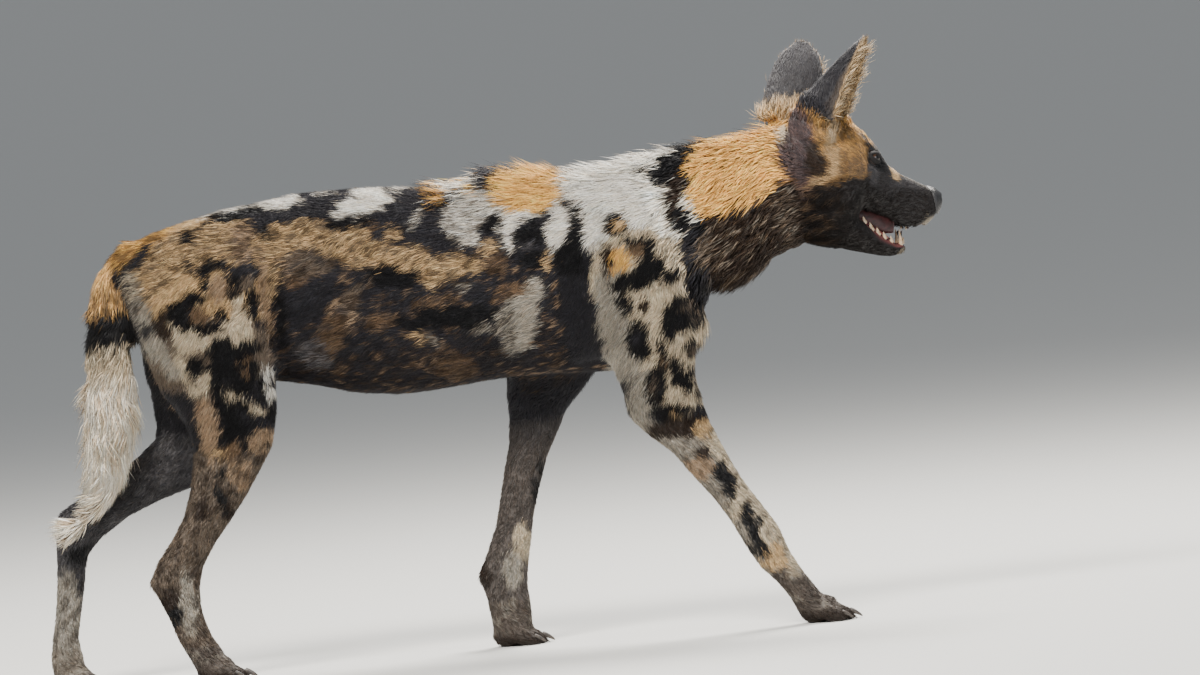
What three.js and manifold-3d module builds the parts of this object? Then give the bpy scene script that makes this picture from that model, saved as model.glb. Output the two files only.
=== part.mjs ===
// African wild dog at a walk, head up and mouth a little open, life size in millimetres.
// It walks toward +X with +Z up, so its right side faces -Y, and the paws stand on z = 0.

import * as THREE from "three";
import { mergeVertices } from "three/addons/utils/BufferGeometryUtils.js";
import Module from "manifold-3d";

const wasm = await Module();
wasm.setup();

// Main sizes of the animal
const MIDDLE = [1.3, -0.5];
const GAP = 0.3;
const TRIM = 0.14;
const HEAD_YAW = (13 * Math.PI) / 180;
const HEAD_PIVOT_X = 425;
const EYE_RADIUS = 10.2;
const EYE_AT = [519, 29.5, 589];
const EAR_THICK = 3.4;
const TOOTH_ROUND = 5;
const CLAW_LENGTH = 17;
const CLAW_RADIUS = 3.1;
const FORE_PAW = { length: 76, width: 56, knuckle: 27 };
const HIND_PAW = { length: 72, width: 52, knuckle: 25 };

// Where each paw stands: heel x, middle y and the way it points in degrees
const PAWS = {
  fore_right: { heel: 369, y: -58, turn: 2, size: FORE_PAW },
  fore_left: { heel: -31, y: 56, turn: 3, size: FORE_PAW },
  hind_right: { heel: -414, y: -56, turn: -3, size: HIND_PAW },
  hind_left: { heel: -607, y: 55, turn: 2, size: HIND_PAW },
};

// Every station below reads: first edge x and z, second edge x and z, middle y, half width,
// where the ring is widest between the edges, and how square it is (2 is an ellipse).
const TRUNK = [
  [-463, 566, -464, 500, 0, 30, 0.5, 2],
  [-446, 575, -459, 468, 0, 46, 0.5, 2.1],
  [-414, 587, -436, 420, 0, 63, 0.48, 2.2],
  [-372, 597, -392, 392, 0, 74, 0.46, 2.2],
  [-322, 608, -334, 381, 0, 80, 0.45, 2.2],
  [-272, 613, -272, 376, 0, 80, 0.47, 2.2],
  [-229, 619, -222, 365, 0, 80, 0.5, 2.2],
  [-176, 619, -172, 350, 0, 83, 0.52, 2.2],
  [-118, 618, -118, 343, 0, 86, 0.54, 2.2],
  [-60, 612, -62, 344, 0, 88, 0.56, 2.2],
  [-14, 611, -10, 349, 0, 88, 0.57, 2.2],
  [28, 624, 30, 351, 0, 86, 0.58, 2.2],
  [82, 620, 84, 350, 0, 82, 0.58, 2.1],
  [134, 611, 136, 347, 0, 78, 0.58, 2.1],
  [180, 614, 190, 343, 0, 74, 0.56, 2.1],
  [222, 624, 240, 347, 0, 66, 0.54, 2.1],
  [248, 624, 274, 366, 0, 56, 0.54, 2.1],
  [262, 600, 289, 402, 0, 44, 0.54, 2],
];
const NECK = [
  [176, 610, 262, 392, 0, 64, 0.55, 2.1],
  [218, 623, 292, 428, 0, 61, 0.56, 2.1],
  [262, 630, 312, 447, 0, 56, 0.56, 2.1],
  [306, 634, 336, 444, 0, 53, 0.54, 2.1],
  [346, 637, 362, 457, 0, 51, 0.52, 2.1],
  [384, 643, 390, 478, 4, 50, 0.5, 2.1],
  [418, 650, 420, 485, 8, 52, 0.5, 2.1],
  [446, 650, 446, 490, 12, 50, 0.5, 2],
];
const TAIL = [
  [-446, 586, -440, 540, 0, 24, 0.5, 2],
  [-472, 566, -447, 528, 0, 24, 0.5, 2],
  [-493, 543, -455, 511, 0, 22, 0.5, 2],
  [-509, 505, -463, 492, 0, 21, 0.5, 2],
  [-513, 472, -462, 466, 0, 23, 0.5, 2],
  [-520, 442, -455, 436, 0, 27, 0.5, 2],
  [-526, 410, -449, 404, 0, 29, 0.5, 2],
  [-531, 372, -450, 366, 0, 29.5, 0.5, 2],
  [-535, 332, -458, 328, 0, 29, 0.5, 2],
  [-541, 292, -470, 290, 0, 27, 0.5, 2],
  [-543, 256, -486, 254, 0, 24, 0.5, 2],
  [-549, 232, -503, 226, 0, 18, 0.5, 2],
  [-562, 219, -530, 208, 0, 11, 0.5, 2],
  [-578, 213, -562, 203, 0, 5, 0.5, 2],
];
const FORE_RIGHT = [
  [118, 505, 236, 520, -38, 30, 0.5, 2],
  [138, 430, 272, 440, -50, 36, 0.5, 2.1],
  [154, 368, 277, 382, -56, 37, 0.5, 2.1],
  [168, 328, 270, 338, -59, 34, 0.48, 2.1],
  [173, 290, 277, 300, -60, 30, 0.45, 2.1],
  [198, 263, 281, 278, -60, 27, 0.45, 2],
  [228, 236, 291, 249, -59, 24, 0.45, 2],
  [253, 201, 304, 219, -58, 21, 0.45, 2],
  [274, 173, 317, 193, -58, 19, 0.48, 2],
  [292, 144, 335, 164, -58, 19, 0.5, 2],
  [310, 106, 355, 132, -58, 21, 0.5, 2.1],
  [327, 76, 368, 95, -58, 21, 0.5, 2.1],
  [345, 58, 382, 68, -58, 21, 0.5, 2.1],
  [359, 38, 398, 44, -58, 23, 0.5, 2.1],
  [370, 14, 410, 20, -58, 23, 0.5, 2.1],
];
const FORE_LEFT = [
  [60, 500, 190, 515, 38, 30, 0.5, 2],
  [38, 430, 190, 440, 48, 36, 0.5, 2.1],
  [22, 372, 166, 380, 55, 37, 0.5, 2.1],
  [17, 334, 132, 332, 58, 33, 0.48, 2.1],
  [19, 296, 100, 302, 58, 29, 0.46, 2.1],
  [16, 264, 84, 274, 57, 25, 0.46, 2],
  [8, 234, 68, 244, 57, 22, 0.46, 2],
  [-2, 196, 53, 204, 56, 19, 0.48, 2],
  [-12, 158, 42, 168, 56, 18, 0.5, 2],
  [-26, 126, 35, 134, 56, 20, 0.5, 2.1],
  [-42, 94, 29, 104, 56, 21, 0.5, 2.1],
  [-34, 72, 25, 78, 56, 20, 0.5, 2.1],
  [-30, 46, 26, 50, 56, 22, 0.5, 2.1],
  [-27, 16, 26, 18, 56, 23, 0.5, 2.1],
];
const HIND_RIGHT = [
  [-444, 538, -300, 560, -30, 30, 0.5, 2],
  [-455, 494, -273, 508, -43, 42, 0.5, 2.1],
  [-443, 438, -268, 440, -52, 45, 0.5, 2.1],
  [-426, 380, -269, 386, -56, 44, 0.5, 2.1],
  [-402, 340, -272, 342, -58, 39, 0.48, 2.1],
  [-389, 306, -282, 299, -58, 33, 0.46, 2.1],
  [-393, 278, -302, 269, -58, 28, 0.46, 2],
  [-399, 250, -323, 238, -57, 24, 0.46, 2],
  [-410, 219, -347, 207, -57, 21, 0.48, 2],
  [-428, 190, -370, 180, -56, 18, 0.5, 2],
  [-450, 163, -388, 152, -56, 17, 0.5, 2],
  [-464, 136, -396, 126, -56, 19, 0.5, 2.1],
  [-451, 109, -397, 102, -56, 18, 0.5, 2.1],
  [-441, 84, -395, 85, -56, 17, 0.5, 2.1],
  [-433, 58, -388, 62, -56, 19, 0.5, 2.1],
  [-422, 36, -376, 40, -56, 21, 0.5, 2.1],
  [-412, 14, -368, 16, -56, 21, 0.5, 2.1],
];
const HIND_LEFT = [
  [-444, 538, -300, 560, 30, 30, 0.5, 2],
  [-455, 494, -273, 508, 43, 42, 0.5, 2.1],
  [-450, 430, -274, 430, 52, 45, 0.5, 2.1],
  [-445, 380, -282, 372, 56, 43, 0.5, 2.1],
  [-440, 338, -296, 320, 57, 37, 0.48, 2.1],
  [-442, 318, -326, 266, 57, 30, 0.48, 2.1],
  [-462, 300, -388, 250, 56, 25, 0.48, 2],
  [-490, 279, -440, 235, 56, 21, 0.5, 2],
  [-520, 260, -484, 218, 55, 18, 0.5, 2],
  [-551, 248, -521, 194, 55, 17, 0.5, 2],
  [-578, 233, -541, 175, 55, 18, 0.5, 2.1],
  [-584, 198, -547, 156, 55, 17, 0.5, 2.1],
  [-588, 146, -551, 134, 55, 16, 0.5, 2.1],
  [-594, 104, -559, 100, 55, 16, 0.5, 2.1],
  [-602, 68, -566, 68, 55, 18, 0.5, 2.1],
  [-607, 40, -563, 42, 55, 20, 0.5, 2.1],
  [-604, 14, -560, 16, 55, 20, 0.5, 2.1],
];

// Head stations are in the head's own straight frame, before it turns to the left
const SKULL = [
  [382, 632, 390, 498, 0, 42, 0.5, 2],
  [408, 646, 408, 494, 0, 50, 0.52, 2],
  [430, 650, 430, 487, 0, 53, 0.5, 2],
  [456, 655, 456, 477, 0, 58, 0.54, 2.1],
  [480, 652, 478, 474, 0, 61, 0.56, 2.2],
  [500, 642, 498, 516, 0, 55, 0.58, 2],
  [518, 626, 514, 510, 0, 43, 0.58, 2],
  [533, 603, 531, 501, 0, 35, 0.54, 2.1],
  [546, 579, 546, 495, 0, 30, 0.5, 2.3],
  [562, 565, 562, 491, 0, 27, 0.5, 2.4],
  [578, 556, 578, 490, 0, 25.5, 0.5, 2.4],
  [592, 548, 590, 493, 0, 24, 0.5, 2.3],
  [604, 542, 600, 501, 0, 19.5, 0.5, 2.2],
  [614, 533, 608, 511, 0, 11, 0.5, 2],
];
const JAW = [
  [452, 545, 452, 480, 0, 46, 0.5, 2],
  [478, 540, 474, 476, 0, 49, 0.5, 2],
  [496, 520, 492, 470, 0, 43, 0.5, 2.2],
  [514, 501, 510, 465, 0, 34, 0.5, 2.3],
  [530, 488, 527, 460.5, 0, 27, 0.5, 2.4],
  [544, 477.5, 541, 459, 0, 21.5, 0.5, 2.4],
  [555, 474, 552, 461, 0, 15, 0.5, 2.2],
  [560.5, 471, 559, 464, 0, 8, 0.5, 2],
];
const PALATE = [
  [494, 524, 494, 500, 0, 30, 0.4, 2.4],
  [512, 524, 510, 490, 0, 28, 0.4, 2.6],
  [534, 515, 532, 480, 0, 24, 0.4, 2.6],
  [556, 508, 556, 478, 0, 20, 0.4, 2.6],
  [576, 504, 576, 480, 0, 17, 0.4, 2.4],
  [586, 502, 586, 484, 0, 12, 0.4, 2],
];

// Solids

function solid(geometry) {
  const plain = geometry.clone();
  plain.deleteAttribute("normal");
  plain.deleteAttribute("uv");
  const merged = mergeVertices(plain, 1e-3);
  const index = new Uint32Array(merged.index.array);
  const corners = merged.attributes.position;
  const a = new THREE.Vector3();
  const b = new THREE.Vector3();
  const c = new THREE.Vector3();
  let volume = 0;
  for (let i = 0; i < index.length; i += 3) {
    a.fromBufferAttribute(corners, index[i]);
    b.fromBufferAttribute(corners, index[i + 1]);
    c.fromBufferAttribute(corners, index[i + 2]);
    volume += a.dot(b.cross(c));
  }
  if (volume < 0) {
    for (let i = 0; i < index.length; i += 3) {
      [index[i + 1], index[i + 2]] = [index[i + 2], index[i + 1]];
    }
  }
  return new wasm.Manifold(
    new wasm.Mesh({ numProp: 3, vertProperties: corners.array, triVerts: index }),
  );
}

function power(value, exponent) {
  return Math.sign(value) * Math.pow(Math.abs(value), exponent);
}

function loft(stations, around, between) {
  const track = (pick) => new THREE.CatmullRomCurve3(stations.map(pick));
  const firstEdge = track((s) => new THREE.Vector3(s[0], s[4], s[1]));
  const secondEdge = track((s) => new THREE.Vector3(s[2], s[4], s[3]));
  const section = track((s) => new THREE.Vector3(s[5], s[6], s[7]));
  const rows = (stations.length - 1) * between;
  const geometry = new THREE.CylinderGeometry(1, 1, 1, around, rows, false);
  const place = geometry.attributes.position;
  for (let i = 0; i < place.count; i += 1) {
    const t = Math.min(1, Math.max(0, 0.5 - place.getY(i)));
    const first = firstEdge.getPoint(t);
    const second = secondEdge.getPoint(t);
    const shape = section.getPoint(t);
    const along = power(place.getZ(i), 2 / shape.z);
    const aside = power(place.getX(i), 2 / shape.z);
    const middle = first.clone().lerp(second, shape.y);
    const end = along > 0 ? first : second;
    const point = middle.lerp(end, Math.abs(along));
    place.setXYZ(i, point.x, point.y + shape.x * aside, point.z);
  }
  return geometry;
}

function ellipsoid(at, radii, turnY, turnZ, around, rows) {
  const geometry = new THREE.SphereGeometry(1, around, rows);
  geometry.scale(radii[0], radii[1], radii[2]);
  geometry.rotateY((turnY * Math.PI) / 180);
  geometry.rotateZ((turnZ * Math.PI) / 180);
  geometry.translate(at[0], at[1], at[2]);
  return geometry;
}

function grown(points, by) {
  const centre = new THREE.Vector2();
  points.forEach((p) => centre.add(new THREE.Vector2(p[0], p[1])));
  centre.divideScalar(points.length);
  return points.map((p, i) => {
    const before = points[(i + points.length - 1) % points.length];
    const after = points[(i + 1) % points.length];
    const at = new THREE.Vector2(p[0], p[1]);
    const inward = new THREE.Vector2(p[0] - before[0], p[1] - before[1]).normalize();
    const onward = new THREE.Vector2(after[0] - p[0], after[1] - p[1]).normalize();
    const side1 = new THREE.Vector2(inward.y, -inward.x);
    const side2 = new THREE.Vector2(onward.y, -onward.x);
    const away = side1.clone().add(side2).normalize();
    if (away.dot(at.clone().sub(centre)) < 0) {
      away.negate();
    }
    const reach = by / Math.max(0.3, Math.abs(away.dot(side1)));
    return [at.x + away.x * reach, at.y + away.y * reach];
  });
}

// A prism over a convex outline in x and z, from one y to another
function sideBlock(points, fromY, toY, by = 0) {
  const outline = new THREE.Shape(grown(points, by).map((p) => new THREE.Vector2(p[0], p[1])));
  const depth = toY - fromY + 2 * by;
  const geometry = new THREE.ExtrudeGeometry(outline, { depth, bevelEnabled: false });
  geometry.rotateX(Math.PI / 2);
  geometry.translate(0, toY + by, 0);
  return geometry;
}

// A prism over a convex outline in y and z, from one x to another
function crossBlock(points, fromX, toX, by = 0) {
  const outline = new THREE.Shape(grown(points, by).map((p) => new THREE.Vector2(p[0], p[1])));
  const depth = toX - fromX + 2 * by;
  const geometry = new THREE.ExtrudeGeometry(outline, { depth, bevelEnabled: false });
  geometry.rotateX(Math.PI / 2);
  geometry.rotateZ(Math.PI / 2);
  geometry.translate(fromX - by, 0, 0);
  return geometry;
}

function turnHead(geometry) {
  geometry.translate(-HEAD_PIVOT_X, 0, 0);
  geometry.rotateZ(HEAD_YAW);
  geometry.translate(HEAD_PIVOT_X, 0, 0);
  return geometry;
}

const group = new THREE.Group();

const TONES = {
  tan: { color: 0xa87f52, roughness: 0.9, metalness: 0 },
  dark: { color: 0x33302f, roughness: 0.85, metalness: 0 },
  pale: { color: 0xd8cdb8, roughness: 0.9, metalness: 0 },
  leg: { color: 0x80705f, roughness: 0.9, metalness: 0 },
  nose: { color: 0x17161a, roughness: 0.45, metalness: 0 },
  eye: { color: 0x2a1509, roughness: 0.08, metalness: 0 },
  tongue: { color: 0x9a4c4a, roughness: 0.4, metalness: 0 },
  claw: { color: 0x2c2622, roughness: 0.5, metalness: 0 },
};

function addNode(name, shape, tone) {
  const cut = shape.simplify(TRIM).getMesh();
  const count = cut.vertProperties.length / cut.numProp;
  const corners = new Float32Array(count * 3);
  for (let i = 0; i < count; i += 1) {
    corners[3 * i] = cut.vertProperties[cut.numProp * i] - MIDDLE[0];
    corners[3 * i + 1] = cut.vertProperties[cut.numProp * i + 1] - MIDDLE[1];
    corners[3 * i + 2] = cut.vertProperties[cut.numProp * i + 2];
  }
  const geometry = new THREE.BufferGeometry();
  geometry.setAttribute("position", new THREE.BufferAttribute(corners, 3));
  geometry.setIndex(new THREE.BufferAttribute(cut.triVerts, 1));
  geometry.computeVertexNormals();
  const mesh = new THREE.Mesh(geometry, new THREE.MeshStandardMaterial(TONES[tone]));
  mesh.name = name;
  group.add(mesh);
}

// Paws with four toes and blunt claws

function pawLocal(paw, geometry) {
  geometry.rotateZ((paw.turn * Math.PI) / 180);
  geometry.translate(paw.heel, paw.y, 0);
  return geometry;
}

const TOES = [
  { side: -0.36, reach: 0.8, heading: -9 },
  { side: -0.13, reach: 0.96, heading: -3 },
  { side: 0.13, reach: 0.96, heading: 3 },
  { side: 0.36, reach: 0.8, heading: 9 },
];

function pawFlesh(paw) {
  const { length, width, knuckle } = paw.size;
  const pieces = [
    ellipsoid([length * 0.36, 0, 18], [length * 0.37, width * 0.39, 20], -8, 0, 10, 5),
  ];
  TOES.forEach((toe) => {
    const bean = new THREE.SphereGeometry(1, 8, 5);
    const place = bean.attributes.position;
    for (let i = 0; i < place.count; i += 1) {
      const ahead = place.getX(i);
      const arch = knuckle * 0.46 * (1 - 0.1 * ahead);
      const drop = ahead > -0.2 ? 8.5 * (ahead + 0.2) * (ahead + 0.2) : 0;
      const rise = knuckle * 0.5 - drop + arch * place.getZ(i) * (1 - 0.16 * Math.max(0, ahead));
      place.setXYZ(i, 25 * ahead, 8.7 * place.getY(i), rise);
    }
    bean.rotateZ((toe.heading * Math.PI) / 180);
    bean.translate(toe.reach * length - 21, toe.side * width * 0.97, 0);
    pieces.push(bean);
  });
  return pieces.map((piece) => solid(pawLocal(paw, piece)));
}

function clawShape(paw, toe, grow) {
  const geometry = new THREE.CylinderGeometry(
    0.9 + grow,
    CLAW_RADIUS + grow,
    CLAW_LENGTH + 2 * grow,
    6,
    1,
    false,
  );
  const place = geometry.attributes.position;
  for (let i = 0; i < place.count; i += 1) {
    const t = (place.getY(i) + CLAW_LENGTH / 2) / CLAW_LENGTH;
    place.setX(i, place.getX(i) * 0.8);
    place.setZ(i, place.getZ(i) - 3.2 * t * t);
  }
  geometry.rotateZ(-Math.PI / 2);
  geometry.rotateY(0.3);
  geometry.rotateZ((toe.heading * Math.PI) / 180);
  const y = toe.side * paw.size.width;
  const tip = toe.reach * paw.size.length;
  geometry.translate(tip + 2.6, y + Math.sin((toe.heading * Math.PI) / 180) * 12, 8.8);
  return solid(pawLocal(paw, geometry));
}

// The body in one piece, then thin cuts between its parts

let body = solid(loft(TRUNK, 18, 1));
body = body.add(solid(loft(NECK, 16, 1)));
body = body.add(solid(loft(TAIL, 12, 1)));
[FORE_RIGHT, FORE_LEFT, HIND_RIGHT, HIND_LEFT].forEach((stations) => {
  body = body.add(solid(loft(stations, 11, 1)));
});
const muscles = [
  ellipsoid([200, -48, 470], [66, 34, 112], -14, 0, 12, 8),
  ellipsoid([150, 48, 470], [66, 34, 112], 0, 0, 12, 8),
  ellipsoid([-350, -46, 478], [88, 41, 96], 0, 0, 12, 8),
  ellipsoid([-350, 46, 478], [88, 41, 96], 0, 0, 12, 8),
];
muscles.forEach((muscle) => {
  body = body.add(solid(muscle));
});
const claws = {};
Object.entries(PAWS).forEach(([foot, paw]) => {
  pawFlesh(paw).forEach((piece) => {
    body = body.add(piece);
  });
  claws[foot] = TOES.map((toe) => clawShape(paw, toe, 0));
  TOES.forEach((toe) => {
    body = body.subtract(clawShape(paw, toe, GAP));
  });
});

// The floor makes a small flat under every pad
const below = new THREE.BoxGeometry(1600, 600, 100);
below.translate(0, 0, -50);
body = body.subtract(solid(below));

// Head: skull, brows and hanging lips joined, then the mouth hollowed between the jaws
let head = solid(turnHead(loft(SKULL, 18, 1)));
const jawShape = solid(turnHead(loft(JAW, 12, 1)));
const palate = solid(turnHead(loft(PALATE, 10, 1)));
const BROW = { at: [506, 25, 604], radii: [24, 13, 15] };
const FLEW = { at: [565, 15.5, 511], radii: [34, 11, 19] };
[-1, 1].forEach((side) => {
  const browAt = [BROW.at[0], side * BROW.at[1], BROW.at[2]];
  const flewAt = [FLEW.at[0], side * FLEW.at[1], FLEW.at[2]];
  head = head.add(solid(turnHead(ellipsoid(browAt, BROW.radii, 35, side * -14, 8, 5))));
  head = head.add(solid(turnHead(ellipsoid(flewAt, FLEW.radii, 6, side * -6, 10, 5))));
});
head = head.subtract(palate);

function toothShape(x, y, z, radius, height, lean, down) {
  const geometry = new THREE.CylinderGeometry(radius * 0.18, radius, height, TOOTH_ROUND, 1, false);
  geometry.rotateX(Math.PI / 2);
  geometry.rotateY((lean * Math.PI) / 180);
  if (down) {
    geometry.rotateX(Math.PI);
  }
  geometry.translate(x, y, z);
  return solid(turnHead(geometry));
}

const LOWER_TEETH = [
  [553, 9, 482, 3.6, 23, 8],
  [537.5, 17.5, 482, 3, 11, 0],
  [528, 19.5, 487.5, 3.2, 12, 0],
  [519.5, 22.5, 493.5, 3.6, 13, 0],
  [511, 25, 500.5, 4, 15, 0],
  [501.5, 27.5, 511, 4.2, 15, 0],
  [556.5, 3, 477.5, 1.9, 9, 12],
];
const UPPER_TEETH = [
  [562, 13, 501, 3.6, 22, 4],
  [577, 4, 502, 2.1, 10, 0],
];
let lowerTeeth = jawShape;
LOWER_TEETH.forEach(([x, y, z, radius, height, lean]) => {
  lowerTeeth = lowerTeeth.add(toothShape(x, y, z, radius, height, lean, false));
  lowerTeeth = lowerTeeth.add(toothShape(x, -y, z, radius, height, lean, false));
});
UPPER_TEETH.forEach(([x, y, z, radius, height, lean]) => {
  head = head.add(toothShape(x, y, z, radius, height, lean, true));
  head = head.add(toothShape(x, -y, z, radius, height, lean, true));
});

// Tongue resting between the lower teeth
function tongueShape(grow) {
  const radii = [34 + grow, 12 + grow, 4.6 + grow];
  const geometry = ellipsoid([522, 0, 492], radii, 38, 0, 12, 6);
  return solid(turnHead(geometry));
}
const tongue = tongueShape(0);
head = head.subtract(tongueShape(GAP));
let jaw = lowerTeeth.subtract(tongueShape(GAP));

// Eyes in their sockets
const eyes = {};
[-1, 1].forEach((side) => {
  const at = [EYE_AT[0], side * EYE_AT[1], EYE_AT[2]];
  const ball = ellipsoid(at, [EYE_RADIUS, EYE_RADIUS, EYE_RADIUS], 0, 0, 10, 6);
  const room = EYE_RADIUS + GAP;
  const socket = ellipsoid(at, [room, room, room], 0, 0, 10, 6);
  eyes[side] = solid(turnHead(ball));
  head = head.subtract(solid(turnHead(socket)));
});

// Ears: large round cups, each on its own base, turned and leaning its own way
function earShell(ear, grow) {
  const geometry = new THREE.BoxGeometry(2, 1, 2, 9, 7, 1);
  const place = geometry.attributes.position;
  const { up, open, wide } = earFrame(ear);
  const base = new THREE.Vector3(...ear.base);
  const point = new THREE.Vector3();
  for (let i = 0; i < place.count; i += 1) {
    const across = place.getX(i);
    const t = Math.min(0.992, place.getY(i) + 0.5);
    const half = ear.half * Math.sqrt(1 - Math.pow(t, ear.blunt)) * (0.8 + 0.2 * t);
    const deep = ear.deep * Math.pow(1 - t, ear.taper) + 2.5;
    const angle = across * (ear.wrap + grow / 20);
    const outward = new THREE.Vector2(Math.sin(angle) * deep, -Math.cos(angle) * half);
    outward.normalize();
    const rim = 1 - 0.55 * Math.pow(Math.abs(across), 4);
    const thick = (EAR_THICK * (1.2 - 0.5 * t) * rim + 1.3 * grow) * place.getZ(i);
    const sideways = half * Math.sin(angle) + outward.x * thick;
    const forward = outward.y * thick - deep * Math.cos(angle) + ear.curl * t * t;
    point.copy(base);
    point.addScaledVector(up, t * ear.height);
    point.addScaledVector(wide, sideways);
    point.addScaledVector(open, forward);
    place.setXYZ(i, point.x, point.y, point.z);
  }
  return solid(turnHead(geometry));
}

// The soft swollen root that each ear grows from
function earRoot(ear, grow) {
  const { up, open, wide } = earFrame(ear);
  const geometry = new THREE.SphereGeometry(1, 12, 8);
  geometry.scale(ear.half * 0.86 + 1.2 * grow, ear.deep * 0.5 + 5 + 1.2 * grow, ear.root + 1.2 * grow);
  geometry.applyMatrix4(new THREE.Matrix4().makeBasis(wide, open, up));
  const middle = new THREE.Vector3(...ear.base).addScaledVector(open, -ear.deep * 0.44);
  geometry.translate(middle.x, middle.y, middle.z);
  return solid(turnHead(geometry));
}

const EARS = {
  ear_right: {
    base: [467, -42, 626],
    height: 133,
    up: [0.44, -0.16, 1],
    open: [1, -0.6, -0.2],
    half: 36,
    deep: 62,
    taper: 0.9,
    blunt: 2.4,
    wrap: 1.62,
    curl: 0,
    root: 28,
    cut: 17,
  },
  ear_left: {
    base: [430, 46, 622],
    height: 132,
    up: [0.29, 0.12, 1],
    open: [0.66, 0.75, 0],
    half: 46,
    deep: 46,
    taper: 0.8,
    blunt: 3,
    wrap: 1.55,
    curl: 0,
    root: 30,
    cut: 20,
  },
};

function earFrame(ear) {
  const up = new THREE.Vector3(...ear.up).normalize();
  const open = new THREE.Vector3(...ear.open);
  open.addScaledVector(up, -open.dot(up)).normalize();
  const wide = new THREE.Vector3().crossVectors(up, open);
  return { up, open, wide };
}

function earBlock(ear, from) {
  const { up, open, wide } = earFrame(ear);
  const frame = new THREE.Matrix4().makeBasis(wide, open, up);
  const geometry = new THREE.BoxGeometry(200, 260, 200);
  geometry.translate(0, 0, 100 + from);
  geometry.applyMatrix4(frame);
  geometry.translate(...ear.base);
  return solid(turnHead(geometry));
}

const ears = {};
Object.entries(EARS).forEach(([name, ear]) => {
  const root = earRoot(ear, 0);
  ears[name] = earShell(ear, 0).add(root).intersect(earBlock(ear, ear.cut));
  const room = earShell(ear, GAP).add(earRoot(ear, GAP)).intersect(earBlock(ear, ear.cut - GAP));
  head = head.add(root.subtract(earBlock(ear, ear.cut - GAP))).subtract(room);
});

// Nose leather at the tip of the muzzle
const NOSE = [
  [601, 560],
  [640, 560],
  [640, 515],
  [603, 515],
];
const noseBlock = solid(turnHead(sideBlock(NOSE, -40, 40)));
const noseRoom = solid(turnHead(sideBlock(NOSE, -40, 40, GAP)));
const nose = head.intersect(noseBlock);
head = head.subtract(noseRoom);

// The jaw hinges at the cheek, and the head sits on the neck
const HEAD_REGION = [
  [392, 800],
  [700, 800],
  [700, 400],
  [440, 400],
];
const headBlock = solid(turnHead(sideBlock(HEAD_REGION, -300, 300)));
const headRoom = solid(turnHead(sideBlock(HEAD_REGION, -300, 300, GAP)));
const JAW_REGION = [
  [458, 440],
  [484, 506],
  [500, 524],
  [700, 524],
  [700, 440],
];
const jawBlock = solid(turnHead(sideBlock(JAW_REGION, -200, 200)));
const HINGE_REGION = [
  [458, 440],
  [484, 506],
  [500, 524],
  [506, 520],
  [506, 440],
];
const jawRoom = solid(turnHead(sideBlock(HINGE_REGION, -200, 200, GAP)));

head = head.intersect(headBlock);
body = body.subtract(headRoom);
jaw = jaw.intersect(jawBlock);

const nodes = [];
function carve(name, region, room, tone) {
  nodes.push([name, body.intersect(region), tone]);
  body = body.subtract(room);
}

function carveSide(name, points, fromY, toY, tone) {
  carve(name, solid(sideBlock(points, fromY, toY)), solid(sideBlock(points, fromY, toY, GAP)), tone);
}

// Tail, then the legs from the paw up
carveSide("tail_root", [[-640, 424], [-640, 660], [-476, 590], [-441, 424]], -30, 30, "tan");
carveSide("tail_plume", [[-640, 100], [-640, 424], [-441, 424], [-441, 100]], -30, 30, "pale");
carveSide(
  "forepaw_right",
  [[330, -20], [330, 60], [345, 78], [392, 78], [520, 40], [520, -20]],
  -250,
  -2,
  "dark",
);
carveSide("forepaw_left", [[-90, -20], [-90, 62], [80, 62], [120, -20]], 2, 250, "dark");
carveSide("hindpaw_right", [[-460, -20], [-460, 50], [-300, 50], [-300, -20]], -250, -2, "dark");
carveSide("hindpaw_left", [[-680, -20], [-680, 54], [-480, 54], [-480, -20]], 2, 250, "dark");
carveSide("hock_right", [[-520, -20], [-520, 158], [-330, 128], [-330, -20]], -250, -2, "leg");
carveSide("hock_left", [[-700, -20], [-700, 250], [-590, 250], [-520, 168], [-520, -20]], 2, 250, "leg");
carveSide("forearm_right", [[120, -20], [120, 298], [300, 268], [420, 180], [420, -20]], -250, -2, "leg");
carveSide("forearm_left", [[-120, -20], [-120, 296], [160, 296], [160, -20]], 2, 250, "leg");
carveSide("shank_right", [[-520, -20], [-520, 318], [-200, 288], [-200, -20]], -250, -2, "leg");
carveSide(
  "shank_left",
  [[-640, -20], [-640, 330], [-430, 330], [-270, 292], [-270, -20]],
  2,
  250,
  "leg",
);

const HIP = [
  [-1, 366],
  [-60, 470],
  [-82, 560],
  [-250, 560],
  [-250, -20],
  [-1, -20],
];
const SHOULDER = [
  [-26, 330],
  [-62, 470],
  [-76, 580],
  [-250, 580],
  [-250, -20],
  [-26, -20],
];
function mirrored(points) {
  return points.map((p) => [-p[0], p[1]]);
}
function carveCross(name, points, fromX, toX, tone) {
  carve(name, solid(crossBlock(points, fromX, toX)), solid(crossBlock(points, fromX, toX, GAP)), tone);
}
carveCross("thigh_right", HIP, -600, -264, "tan");
carveCross("thigh_left", mirrored(HIP), -600, -264, "tan");
carveCross("upper_arm_right", SHOULDER, 112, 400, "pale");
carveCross("upper_arm_left", mirrored(SHOULDER), 0, 260, "pale");
carveSide("neck", [[214, 700], [292, 300], [470, 300], [470, 700]], -200, 200, "tan");
nodes.push(["trunk", body, "tan"]);

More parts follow.
